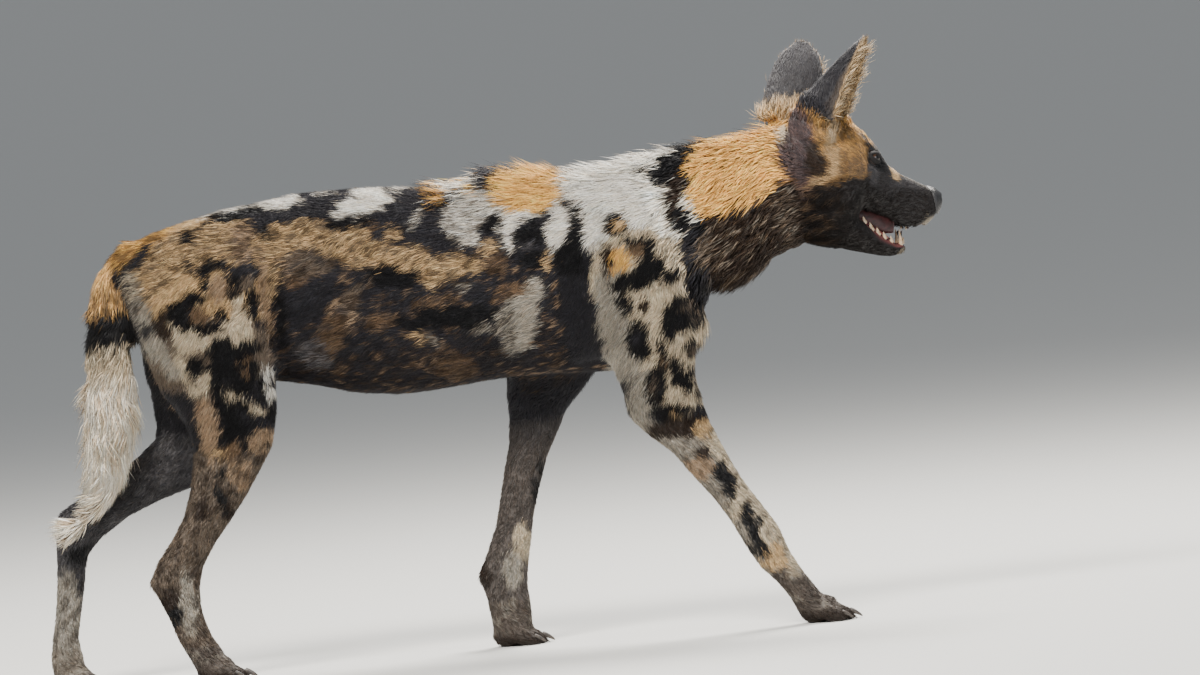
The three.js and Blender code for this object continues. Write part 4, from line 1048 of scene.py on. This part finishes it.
LID_STEPS = [(0.0, 0.97), (0.02, 1.05), (0.07, 1.125), (0.16, 1.165), (0.28, 1.15), (0.38, 1.115)]
LID_STEPS += [(0.48, 1.14), (0.60, 1.10), (0.74, 0.99)]
for side in SIDES:
    centre = eye_centres[side]
    facing = eye_looks[side]
    ball = bmesh.new()
    bmesh.ops.create_uvsphere(ball, u_segments=64, v_segments=40, radius=EYE_RADIUS)
    ring_value = []
    for corner in ball.verts:
        angle = math.acos(max(-1.0, min(1.0, corner.co.z / EYE_RADIUS)))
        ring_value.append(angle / (math.pi / 2))
        if angle < 0.75:
            corner.co *= 1.0 + 0.055 * math.cos(angle / 0.75 * math.pi / 2)
    turn = Vector((0.0, 0.0, 1.0)).rotation_difference(facing).to_matrix().to_4x4()
    bmesh.ops.transform(ball, matrix=Matrix.Translation(centre) @ turn, verts=ball.verts)
    ball_mesh = mesh_of("eyeball_" + side, ball)
    ball_mesh.attributes.new("from pupil", "FLOAT", "POINT").data.foreach_set("value", ring_value)
    smooth_shaded(ball_mesh, eye_glass)
    eyeball = put("eyeball_" + side, ball_mesh)
    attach(eyeball, "root")
    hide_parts("eye_" + side)

    ahead = head_direction(1.0, 0.0, -0.34)
    ahead = (ahead - ahead.dot(facing) * facing).normalized()
    above = facing.cross(ahead)
    if above.z < 0:
        above = -above
    lids = bmesh.new()
    bmesh.ops.create_grid(lids, x_segments=72, y_segments=len(LID_STEPS) - 1, size=0.5)
    for corner in lids.verts:
        around = (corner.co.x + 0.5) * 2.0 * math.pi
        step = round((corner.co.y + 0.5) * (len(LID_STEPS) - 1))
        spread, rise = LID_STEPS[step]
        across = 0.74 * math.cos(around)
        height = 0.34 if math.sin(around) > 0 else 0.28
        upward = height * math.sin(around) * (1.0 - 0.3 * math.cos(around) ** 2)
        reach = math.hypot(across, upward) + spread
        toward = math.atan2(upward, across)
        aim = math.cos(toward) * ahead + math.sin(toward) * above
        ray = math.cos(reach) * facing + math.sin(reach) * aim
        corner.co = centre + ray * EYE_RADIUS * rise
    bmesh.ops.remove_doubles(lids, verts=lids.verts, dist=1e-6)
    bmesh.ops.recalc_face_normals(lids, faces=lids.faces)
    if sum((face.normal.dot(facing) for face in lids.faces)) < 0:
        bmesh.ops.reverse_faces(lids, faces=lids.faces)
    lid_mesh = mesh_of("eyelids_" + side, lids)
    smooth_shaded(lid_mesh, lid_skin)
    eyelids = put("eyelids_" + side, lid_mesh)
    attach(eyelids, "root")


# Nose.
# Moist pebbled leather at the end of the muzzle, with a comma-shaped nostril on each side
# and a shallow groove down the middle.
def nose_back(spots):
    return 594.0 + 0.22 * np.abs(spots[:, 1]) + 0.12 * np.maximum(532.0 - spots[:, 2], 0.0)


NOSE_VOXEL = 0.0011
nose_mesh = fused(["head", "nose"], NOSE_VOXEL)
drop_specks(nose_mesh)
relax(nose_mesh, 16, 0.4)
nose_spots = to_head(corners_of(nose_mesh) * 1000.0)
keep_faces(nose_mesh, (nose_spots[:, 0] > nose_back(nose_spots)) & (nose_spots[:, 2] > 508.0))
nose_spots = to_head(corners_of(nose_mesh) * 1000.0)
swell = 1.5 * eased(nose_spots[:, 0] - nose_back(nose_spots), 0.0, 3.5) - 1.4
swell += 1.1 * eased(nose_spots[:, 0], 596.0, 605.0)
move_corners(nose_mesh, corners_of(nose_mesh) + normals_of(nose_mesh) * swell[:, None] / 1000.0)
nose_spots = to_head(corners_of(nose_mesh) * 1000.0)
dent = np.zeros(len(nose_spots))
for out in (-1, 1):
    dent += 4.2 * groove(nose_spots, (612, out * 6.6, 528), (605, out * 9.6, 524), 2.5)
    dent += 1.8 * groove(nose_spots, (607, out * 11.0, 522), (602, out * 15.5, 519), 1.7)
    dent -= 0.8 * groove(nose_spots, (611, out * 5.0, 534), (603, out * 12.5, 532), 2.2)
dent += 0.9 * groove(nose_spots, (616, 0, 526), (610, 0, 508), 1.1)
move_corners(nose_mesh, corners_of(nose_mesh) - normals_of(nose_mesh) * dent[:, None] / 1000.0)
nose_leather, tree, shader, pebbles = mottled(
    "moist nose leather", {"Roughness": 0.4, "Specular IOR Level": 0.5}, "Voronoi", 850.0,
    (0.0, (0.014, 0.0135, 0.015)), (1.0, (0.005, 0.005, 0.0055)))
add_relief(tree, shader, pebbles, 0.7, 0.0004).invert = True
smooth_shaded(nose_mesh, nose_leather)
nose_pad = put("nose_pad", nose_mesh)
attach(nose_pad, "root")
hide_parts("nose")


# Mouth.
# A long narrow tongue lies in the lower jaw between two rows of ivory teeth: canines at the
# front, then pointed premolars and the big shearing cheek teeth, all set in dark gums.
TONGUE_VOXEL = 0.0012
tongue_mesh = fused(["tongue"], TONGUE_VOXEL)
relax(tongue_mesh, 20, 0.5)
tongue_spots = to_head(corners_of(tongue_mesh) * 1000.0)
hollow = 1.6 * np.exp(-((tongue_spots[:, 1] / 2.4) ** 2)) * (normals_of(tongue_mesh)[:, 2] > 0)
move_corners(tongue_mesh, corners_of(tongue_mesh) - normals_of(tongue_mesh) * hollow[:, None] / 1000.0)
tongue_look = {"Roughness": 0.3, "Subsurface Weight": 0.15, "Subsurface Radius": (0.006, 0.002, 0.001)}
tongue_flesh, tree, shader, buds = mottled(
    "moist tongue", tongue_look, "Noise", 1100.0, (0.3, (0.17, 0.042, 0.048)), (0.7, (0.33, 0.11, 0.105)))
add_relief(tree, shader, buds, 0.4, 0.0005)
smooth_shaded(tongue_mesh, tongue_flesh)
tongue_piece = put("tongue_flesh", tongue_mesh)
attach(tongue_piece, "root")
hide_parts("tongue")

cheeks = bmesh.new()
LINING = [(486, 517), (500, 528), (530, 520), (550, 509), (546, 488), (528, 490), (508, 504)]
near_rim = [cheeks.verts.new(from_head(x, -3.0, z)) for x, z in LINING]
far_rim = [cheeks.verts.new(from_head(x, 15.0, z)) for x, z in LINING]
cheeks.faces.new(near_rim)
cheeks.faces.new(far_rim[::-1])
for n in range(len(LINING)):
    after = (n + 1) % len(LINING)
    cheeks.faces.new([near_rim[n], far_rim[n], far_rim[after], near_rim[after]])
bmesh.ops.recalc_face_normals(cheeks, faces=cheeks.faces)
bmesh.ops.triangulate(cheeks, faces=cheeks.faces)
bmesh.ops.subdivide_edges(cheeks, edges=cheeks.edges, cuts=3, use_grid_fill=True)
bmesh.ops.smooth_vert(
    cheeks, verts=cheeks.verts, factor=0.5, use_axis_x=True, use_axis_y=True, use_axis_z=True)
cheek_mesh = mesh_of("mouth_lining", cheeks)
gum = mottled(
    "dark wet gums", {"Roughness": 0.38}, "Noise", 160.0,
    (0.35, (0.03, 0.008, 0.009)), (0.7, (0.10, 0.026, 0.028)), 3.0)[0]
smooth_shaded(cheek_mesh, gum)
lining = put("mouth_lining", cheek_mesh)
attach(lining, "root")

LOWER_TEETH = [
    (553, 9, 482.5, 4.2, 23, 8, 0.9),
    (537.5, 17.5, 481.5, 4.4, 11, -6, 0.45),
    (528, 19.8, 487, 4.8, 12, -8, 0.45),
    (519.2, 22.5, 493, 5.4, 13, -8, 0.42),
    (510, 25.2, 500, 6.0, 14, -10, 0.4),
    (501, 27.6, 510, 5.2, 12, -10, 0.4),
    (557.5, 1.8, 478, 2.2, 9, 12, 0.7),
    (557, 5.2, 478, 2.2, 9.5, 12, 0.7),
]
UPPER_TEETH = [
    (562, 12.6, 501.5, 4.0, 22, 4, 0.9),
    (578, 2.2, 504, 2.2, 10, 0, 0.7),
    (577, 6.2, 504, 2.3, 10.5, 0, 0.7),
]


def tooth(shell, x, y, z, radius, height, lean, round_share, upper):
    made = bmesh.ops.create_uvsphere(shell, u_segments=14, v_segments=10, radius=1.0)["verts"]
    for corner in made:
        rise = (corner.co.z + 1.0) / 2.0
        narrow = (1.0 - rise ** 1.25) * 0.78 + 0.04
        swell = math.hypot(corner.co.x, corner.co.y) + 1e-6
        cusps = 0.0
        if round_share < 0.6:
            cusps = 0.16 * abs(math.sin(2.2 * corner.co.x)) * (1.0 - rise)
        along = corner.co.x / swell * min(1.0, swell * 2.0) * narrow * radius
        aside = corner.co.y / swell * min(1.0, swell * 2.0) * narrow * radius * (0.35 + round_share * 0.6)
        back = 0.0
        if round_share > 0.8:
            back = -height * 0.16 * rise * rise
        corner.co = (along + back, aside, (rise - 0.5 + cusps) * height)
    turn = Matrix.Rotation(math.radians(lean), 4, "Y")
    if upper:
        turn = Matrix.Rotation(math.pi, 4, "X") @ turn
    yaw = Matrix.Rotation(HEAD_YAW, 4, "Z")
    spin = Matrix.Rotation(math.radians(-14.0 if y > 0 else 14.0), 4, "Z")
    small = Matrix.Diagonal((0.001, 0.001, 0.001, 1.0))
    place = Matrix.Translation(from_head(x, y, z)) @ yaw @ spin @ turn @ small
    bmesh.ops.transform(shell, matrix=place, verts=made)


ivory = mottled(
    "ivory teeth", {"Roughness": 0.32, "Coat Weight": 0.15}, "Noise", 260.0,
    (0.32, (0.30, 0.19, 0.10)), (0.58, (0.44, 0.32, 0.21)), 3.0)[0]
for name, rows, upper in (("teeth_lower", LOWER_TEETH, False), ("teeth_upper", UPPER_TEETH, True)):
    shell = bmesh.new()
    for x, y, z, radius, height, lean, round_share in rows:
        for out in (-1, 1):
            tooth(shell, x, y * out, z, radius, height, lean, round_share, upper)
    bmesh.ops.remove_doubles(shell, verts=shell.verts, dist=1e-7)
    bmesh.ops.recalc_face_normals(shell, faces=shell.faces)
    teeth_mesh = mesh_of(name, shell)
    smooth_shaded(teeth_mesh, ivory)
    teeth = put(name, teeth_mesh)
    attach(teeth, "root")


# Claws.
# Blunt worn claws of dark horn, one at the end of each of the four toes, curved down to the
# ground and set in the fur of the toe.
horn, tree, shader, growth = mottled(
    "dark horn claws", {"Roughness": 0.42}, "Noise", 420.0,
    (0.35, (0.018, 0.015, 0.014)), (0.7, (0.085, 0.068, 0.055)), 4.0)
add_relief(tree, shader, growth, 0.4, 0.0003)
PAWS = {
    "fore_right": (369, -58, 2, 76, 56),
    "fore_left": (-31, 56, 3, 76, 56),
    "hind_right": (-414, -56, -3, 72, 52),
    "hind_left": (-607, 55, 2, 72, 52),
}
TOES = [(-0.36, 0.8, -9), (-0.13, 0.96, -3), (0.13, 0.96, 3), (0.36, 0.8, 9)]
CLAW_LENGTH = 17.5
CLAW_RADIUS = 3.2
for foot, (heel, middle, turn, length, width) in PAWS.items():
    shell = bmesh.new()
    for aside, reach, heading in TOES:
        made = bmesh.ops.create_uvsphere(shell, u_segments=12, v_segments=12, radius=1.0)["verts"]
        for corner in made:
            t = (corner.co.z + 1.0) / 2.0
            swell = math.hypot(corner.co.x, corner.co.y) + 1e-6
            girth = CLAW_RADIUS * (1.0 - 0.72 * t ** 1.5) * min(1.0, swell * 2.2)
            sideways = corner.co.y / swell * girth * 0.72
            upward = corner.co.x / swell * girth - 3.8 * t * t
            corner.co = ((t - 0.5) * CLAW_LENGTH, sideways, upward)
        lean = Matrix.Rotation(0.3, 4, "Y")
        yaw = Matrix.Rotation(math.radians(heading), 4, "Z")
        tip = reach * length + 2.6
        side_step = aside * width + math.sin(math.radians(heading)) * 12.0
        step = Matrix.Translation((tip, side_step, 9.2))
        stand = Matrix.Translation((heel - MIDDLE[0], middle - MIDDLE[1], 0.0))
        stance = stand @ Matrix.Rotation(math.radians(turn), 4, "Z")
        small = Matrix.Diagonal((0.001, 0.001, 0.001, 1.0))
        bmesh.ops.transform(shell, matrix=small @ stance @ step @ yaw @ lean, verts=made)
    bmesh.ops.remove_doubles(shell, verts=shell.verts, dist=1e-7)
    bmesh.ops.recalc_face_normals(shell, faces=shell.faces)
    for corner in shell.verts:
        corner.co.z = max(corner.co.z, 0.0003)
    claw_mesh = mesh_of("claws_" + foot, shell)
    smooth_shaded(claw_mesh, horn)
    claws = put("claws_" + foot, claw_mesh)
    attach(claws, "root")
    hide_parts(*["claw_" + foot + "_" + str(n) for n in (1, 2, 3, 4)])


# Coat.
# Sparse, bristly hair in thin overlapping tufts that lie back along the body and down the
# legs: short on the flanks and limbs, very short on the face and feet, shaggy on the neck and
# throat, fringed in the ears, and a long plume on the tail. Each tuft is a tapered solid lock
# rooted in the hide, coloured by the markings under the outer part of its length.
skin_mesh.calc_loop_triangles()
triangle_count = len(skin_mesh.loop_triangles)
triangle_corners = np.empty(triangle_count * 3, np.int32)
triangle_loops = np.empty(triangle_count * 3, np.int32)
skin_mesh.loop_triangles.foreach_get("vertices", triangle_corners)
skin_mesh.loop_triangles.foreach_get("loops", triangle_loops)
triangle_corners = triangle_corners.reshape(-1, 3)
triangle_loops = triangle_loops.reshape(-1, 3)
triangle_areas = np.empty(triangle_count, np.float32)
skin_mesh.loop_triangles.foreach_get("area", triangle_areas)
hide_map = np.empty(len(skin_mesh.loops) * 2, np.float32)
skin_mesh.uv_layers.active.data.foreach_get("uv", hide_map)
hide_map = hide_map.reshape(-1, 2)
hide_places = corners_of(skin_mesh)
triangle_part = skin_found[triangle_corners[:, 0]]
triangle_middle = hide_places[triangle_corners].mean(1)

LONG_FACES = [(0, 1, 4, 3), (1, 2, 5, 4), (2, 0, 3, 5), (0, 2, 1), (3, 4, 6), (4, 5, 6), (5, 3, 6)]
SHORT_FACES = [(0, 1, 3), (1, 2, 3), (2, 0, 3), (0, 2, 1)]
PATCH_HALF = 0.0014
LONG_PATCH = np.array([[-1, -1], [1, -1], [0, -1], [-0.8, 0.1], [0.8, 0.1], [0, 0.1], [0, 1]]) * PATCH_HALF
SHORT_PATCH = np.array([[-1, -1], [1, -1], [0, -1], [0, 1]]) * PATCH_HALF
BARE_ROUND_EYE = 0.0138
LEAST_HEIGHT = 0.0008
COLOUR_READ_AT = 0.6

hair, tree, shader = material_of("bristly hair", {"Roughness": 0.5, "Specular IOR Level": 0.22})
flecked(tree, shader, reading(tree, "coat colour").outputs["Color"], 700.0, 2.0, "OVERLAY", 0.3)


def build_locks(name, rings, faces, patch, tint, root_map):
    count = len(rings)
    per = rings.shape[1]
    sizes = np.array([len(face) for face in faces])
    pattern = np.concatenate([np.array(face) for face in faces])
    loops = (np.arange(count)[:, None] * per + pattern[None, :]).ravel()
    starts = np.concatenate([[0], np.cumsum(np.tile(sizes, count))[:-1]])
    mesh = bpy.data.meshes.new(name)
    mesh.vertices.add(count * per)
    mesh.vertices.foreach_set("co", rings.astype(np.float32).ravel())
    mesh.loops.add(len(loops))
    mesh.loops.foreach_set("vertex_index", loops.astype(np.int32))
    mesh.polygons.add(len(starts))
    mesh.polygons.foreach_set("loop_start", starts.astype(np.int32))
    mesh.update(calc_edges=True)
    mesh.polygons.foreach_set("use_smooth", np.ones(len(starts), bool))
    set_colours(mesh, tint.reshape(-1, 3))
    bake_map = mesh.uv_layers.new(name="OFBake")
    spots = (root_map[:, None, :] + patch[pattern][None, :, :]).reshape(-1, 2)
    bake_map.data.foreach_set("uv", np.clip(spots, 0.0, 1.0).astype(np.float32).ravel())
    mesh.materials.append(hair)
    coat = put(name, mesh)
    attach(coat, "root")
    return coat


def grow(name, chosen, count, width, lifts, long_locks, slot, seed, fringe=None, pale=0.0):
    dice = np.random.default_rng(seed)
    ids = np.nonzero(chosen)[0]
    area = triangle_areas[ids].astype(float)
    picks = ids[dice.choice(len(ids), count, p=area / area.sum())]
    one, two = dice.random(count), dice.random(count)
    flip = one + two > 1.0
    one[flip], two[flip] = 1.0 - one[flip], 1.0 - two[flip]
    mix = np.stack([1.0 - one - two, one, two], 1)[:, :, None]
    roots = (hide_places[triangle_corners[picks]] * mix).sum(1)
    facing = (skin_normals[triangle_corners[picks]] * mix).sum(1)
    facing /= np.linalg.norm(facing, axis=1)[:, None] + 1e-9
    root_map = (hide_map[triangle_loops[picks]] * mix).sum(1)
    found = skin_found[triangle_corners[picks][:, 0]]
    mm = roots * 1000.0 + MIDDLE
    kept = np.ones(count, bool)
    for side in SIDES:
        kept &= np.linalg.norm(roots - np.array(eye_centres[side]), axis=1) > BARE_ROUND_EYE
    kept &= ~((mm[:, 2] < 5.0) & (facing[:, 2] < -0.3))
    in_jaw = is_part(found, ["jaw"])
    spot = to_head(roots * 1000.0)
    kept &= ~(in_jaw & (facing[:, 2] > 0.25) & (np.abs(spot[:, 1]) < 31.0))
    in_skull = is_part(found, ["head"])
    kept &= ~(in_skull & (facing[:, 2] < -0.45) & (np.abs(spot[:, 1]) < 20.0) & (spot[:, 0] > 488))
    kept &= ~(in_skull & (spot[:, 0] > nose_back(spot) - 0.5) & (spot[:, 2] > 507.0))
    roots, facing, root_map, found, mm = (v[kept] for v in (roots, facing, root_map, found, mm))
    count = len(roots)
    local = read_through(lie_field, roots)
    length = local[:, 1] / 1000.0 * dice.uniform(0.72, 1.28, count)
    along = local[:, 2:5]
    if fringe is not None:
        along, length = fringe(roots, facing, along, length, dice)
    along = along / (np.linalg.norm(along, axis=1)[:, None] + 1e-9)
    along = along - (along * facing).sum(1)[:, None] * facing
    flat = np.linalg.norm(along, axis=1)
    length = length * np.clip((flat - 0.3) * 2.4, 0.18, 1.0)
    along /= flat[:, None] + 1e-9
    behind = mm[:, 0] + along[:, 0] * length * 1000.0 + 516.0 + 0.13 * (442.0 - mm[:, 2])
    stray = is_part(found, ["tail_plume"]) & (mm[:, 2] > 262.0) & (behind < 0.0)
    length = np.where(stray, length * 0.3, length)
    beside = np.cross(facing, along)
    swirl = 0.20 * wander(mm, 46.0, 21) + 0.16 * wander(mm, 16.0, 22) + dice.normal(0.0, 0.13, count)
    along = along * np.cos(swirl)[:, None] + beside * np.sin(swirl)[:, None]
    beside = np.cross(facing, along)
    lift = np.radians(lifts[0] * dice.uniform(0.6, 1.35, count))[:, None]
    drop = np.radians(lifts[1] * dice.uniform(0.3, 1.5, count))[:, None]
    curl = dice.normal(0.0, 0.14, count)[:, None]
    half = length[:, None] * 0.5
    wide = (width * dice.uniform(0.7, 1.25, count) / 1000.0)[:, None]
    tall = wide * 0.5
    start = roots - facing * 0.0005
    first = along * np.cos(lift) + facing * np.sin(lift)
    second = (along + beside * curl) * np.cos(drop) + facing * np.sin(drop)
    jitter = dice.normal(0.0, 1.0, (count, 3))
    tint = painted(roots + along * (length * COLOUR_READ_AT)[:, None], facing, found, jitter)
    tint = lay(tint, "tan", np.full(count, pale))
    tint = lay(tint, "cream", pale * eased(jitter[:, 0], -0.6, 1.2))
    tint = tint * dice.uniform(0.6, 1.36, count)[:, None]
    warm = dice.normal(0.0, 0.04, count)
    tint = tint * np.stack([1.0 + warm, np.ones(count), 1.0 - warm], 1)
    foot = [start - beside * wide * 0.5, start + beside * wide * 0.5, start + facing * tall]
    # Painted shade and highlight along each lock: darker toward the root, where the coat shades itself,
    # brighter at the tip.
    if long_locks:
        middle = start + first * half
        bend = [middle - beside * wide * 0.44, middle + beside * wide * 0.44, middle + facing * tall * 0.8]
        rings = np.stack(foot + bend + [middle + second * half], 1)
        root_shade_tip_highlight = np.array([0.42, 0.42, 0.48, 0.88, 0.88, 0.98, 1.2])
        faces, patch = LONG_FACES, LONG_PATCH
    else:
        rings = np.stack(foot + [start + (first + second) * half], 1)
        root_shade_tip_highlight = np.array([0.55, 0.55, 0.62, 1.2])
        faces, patch = SHORT_FACES, SHORT_PATCH
    rings[:, :, 2] = np.maximum(rings[:, :, 2], LEAST_HEIGHT)
    colours = tint[:, None, :] * root_shade_tip_highlight[None, :, None]
    return build_locks(name, rings, faces, patch, np.clip(colours, 0.003, 0.95), root_map)


def of_parts(*names):
    return is_part(triangle_part, names)


left_half = triangle_middle[:, 1] > 0.0
fore_half = triangle_middle[:, 0] > -0.09
right_trunk = of_parts("trunk") & ~left_half
left_trunk = of_parts("trunk") & left_half
foreleg_right = of_parts("forearm_right", "forepaw_right")
foreleg_left = of_parts("forearm_left", "forepaw_left")
hindleg_right = of_parts("shank_right", "hock_right", "hindpaw_right")
hindleg_left = of_parts("shank_left", "hock_left", "hindpaw_left")
# Each row: name, where it grows, tufts, width in mm, rise at root and tip in degrees, long, slot, seed
COATS = [
    ("coat_flank_right_fore", right_trunk & fore_half, 26000, 1.35, (23, 7), False, "coat_dark", 31),
    ("coat_flank_right_hind", right_trunk & ~fore_half, 29000, 1.35, (23, 7), False, "coat_dark", 45),
    ("coat_flank_left_fore", left_trunk & fore_half, 18500, 1.45, (23, 7), False, "coat_dark", 32),
    ("coat_flank_left_hind", left_trunk & ~fore_half, 20500, 1.45, (23, 7), False, "coat_dark", 46),
    ("coat_neck", of_parts("neck"), 16500, 1.7, (27, 9), True, "coat_tan", 33),
    ("coat_shoulder_right", of_parts("upper_arm_right"), 25000, 1.3, (22, 7), False, "coat_pale", 34),
    ("coat_shoulder_left", of_parts("upper_arm_left"), 16000, 1.4, (22, 7), False, "coat_pale", 35),
    ("coat_thigh_right", of_parts("thigh_right"), 29000, 1.3, (22, 7), False, "coat_tan", 36),
    ("coat_thigh_left", of_parts("thigh_left"), 19500, 1.4, (22, 7), False, "coat_tan", 37),
    ("coat_tail", of_parts("tail_root", "tail_plume"), 14000, 1.6, (13, 3), True, "coat_pale", 38),
    ("coat_foreleg_right", foreleg_right, 14000, 1.3, (18, 7), False, "coat_leg", 39),
    ("coat_foreleg_left", foreleg_left, 11000, 1.4, (18, 7), False, "coat_leg", 40),
    ("coat_hindleg_right", hindleg_right, 15000, 1.3, (18, 7), False, "coat_leg", 41),
    ("coat_hindleg_left", hindleg_left, 14000, 1.4, (18, 7), False, "coat_leg", 42),
    ("coat_head", of_parts("head", "jaw"), 38000, 1.05, (16, 6), False, "coat_dark", 43),
    ("coat_ears", of_parts("ear_right", "ear_left"), 17000, 1.0, (14, 6), False, "coat_dark", 44),
]
for row in COATS:
    grow(*row)


def ear_fringe(roots, facing, along, length, dice):
    count = len(roots)
    out = np.tile(np.array(head_direction(0.75, -0.25, 0.55)), (count, 1))
    out += dice.normal(0.0, 0.22, (count, 3))
    return out, length * dice.uniform(1.5, 2.9, count)


corner_mm = hide_places[triangle_corners].mean(1) * 1000.0
triangle_face = skin_normals[triangle_corners[:, 0]]
triangle_spot = to_head(corner_mm)
mouth_of_ear = triangle_face @ np.array(head_direction(1, -0.6, -0.2)) > 0.25
rim_right = of_parts("ear_right") & mouth_of_ear & (triangle_spot[:, 2] < 735)
mouth_of_left = triangle_face @ np.array(head_direction(0.66, 0.75, 0)) > 0.25
rim_left = of_parts("ear_left") & mouth_of_left & (triangle_spot[:, 2] < 720)
grow("coat_ear_fringe", rim_right | rim_left, 3600, 0.8, (38, 20), True, "coat_pale", 47,
     fringe=ear_fringe, pale=0.85)


def ear_foot(roots, facing, along, length, dice):
    count = len(roots)
    far = (roots[:, 1] > 0.0)[:, None]
    out = np.where(far, head_direction(0.1, 0.1, 1.0), head_direction(0.3, -0.1, 1.0))
    out = out + dice.normal(0.0, 0.16, (count, 3))
    reach = np.where(far[:, 0], 0.021, 0.013)
    return out, reach * dice.uniform(0.7, 1.25, count)


high = np.nonzero((triangle_middle[:, 2] > 0.6) & of_parts("head", "neck", "ear_right", "ear_left"))[0]
ear_apart = np.full(triangle_count, 1.0)
for i in high:
    from_ear = ear_tree.find_nearest(triangle_middle[i])[3]
    ear_apart[i] = max(from_ear, skull_tree.find_nearest(triangle_middle[i])[3])
grow("coat_ear_foot", ear_apart < 0.016, 4200, 1.1, (22, 8), True, "coat_tan", 48, fringe=ear_foot)


def crest(roots, facing, along, length, dice):
    return along + dice.normal(0.0, 0.12, (len(roots), 3)), dice.uniform(0.02, 0.042, len(roots))


upward = triangle_face[:, 2] > 0.72
ridge_back = of_parts("neck", "trunk") & upward & (triangle_middle[:, 0] > -0.05)
grow("coat_crest", ridge_back, 1700, 1.3, (30, 18), True, "coat_tan", 49, fringe=crest)
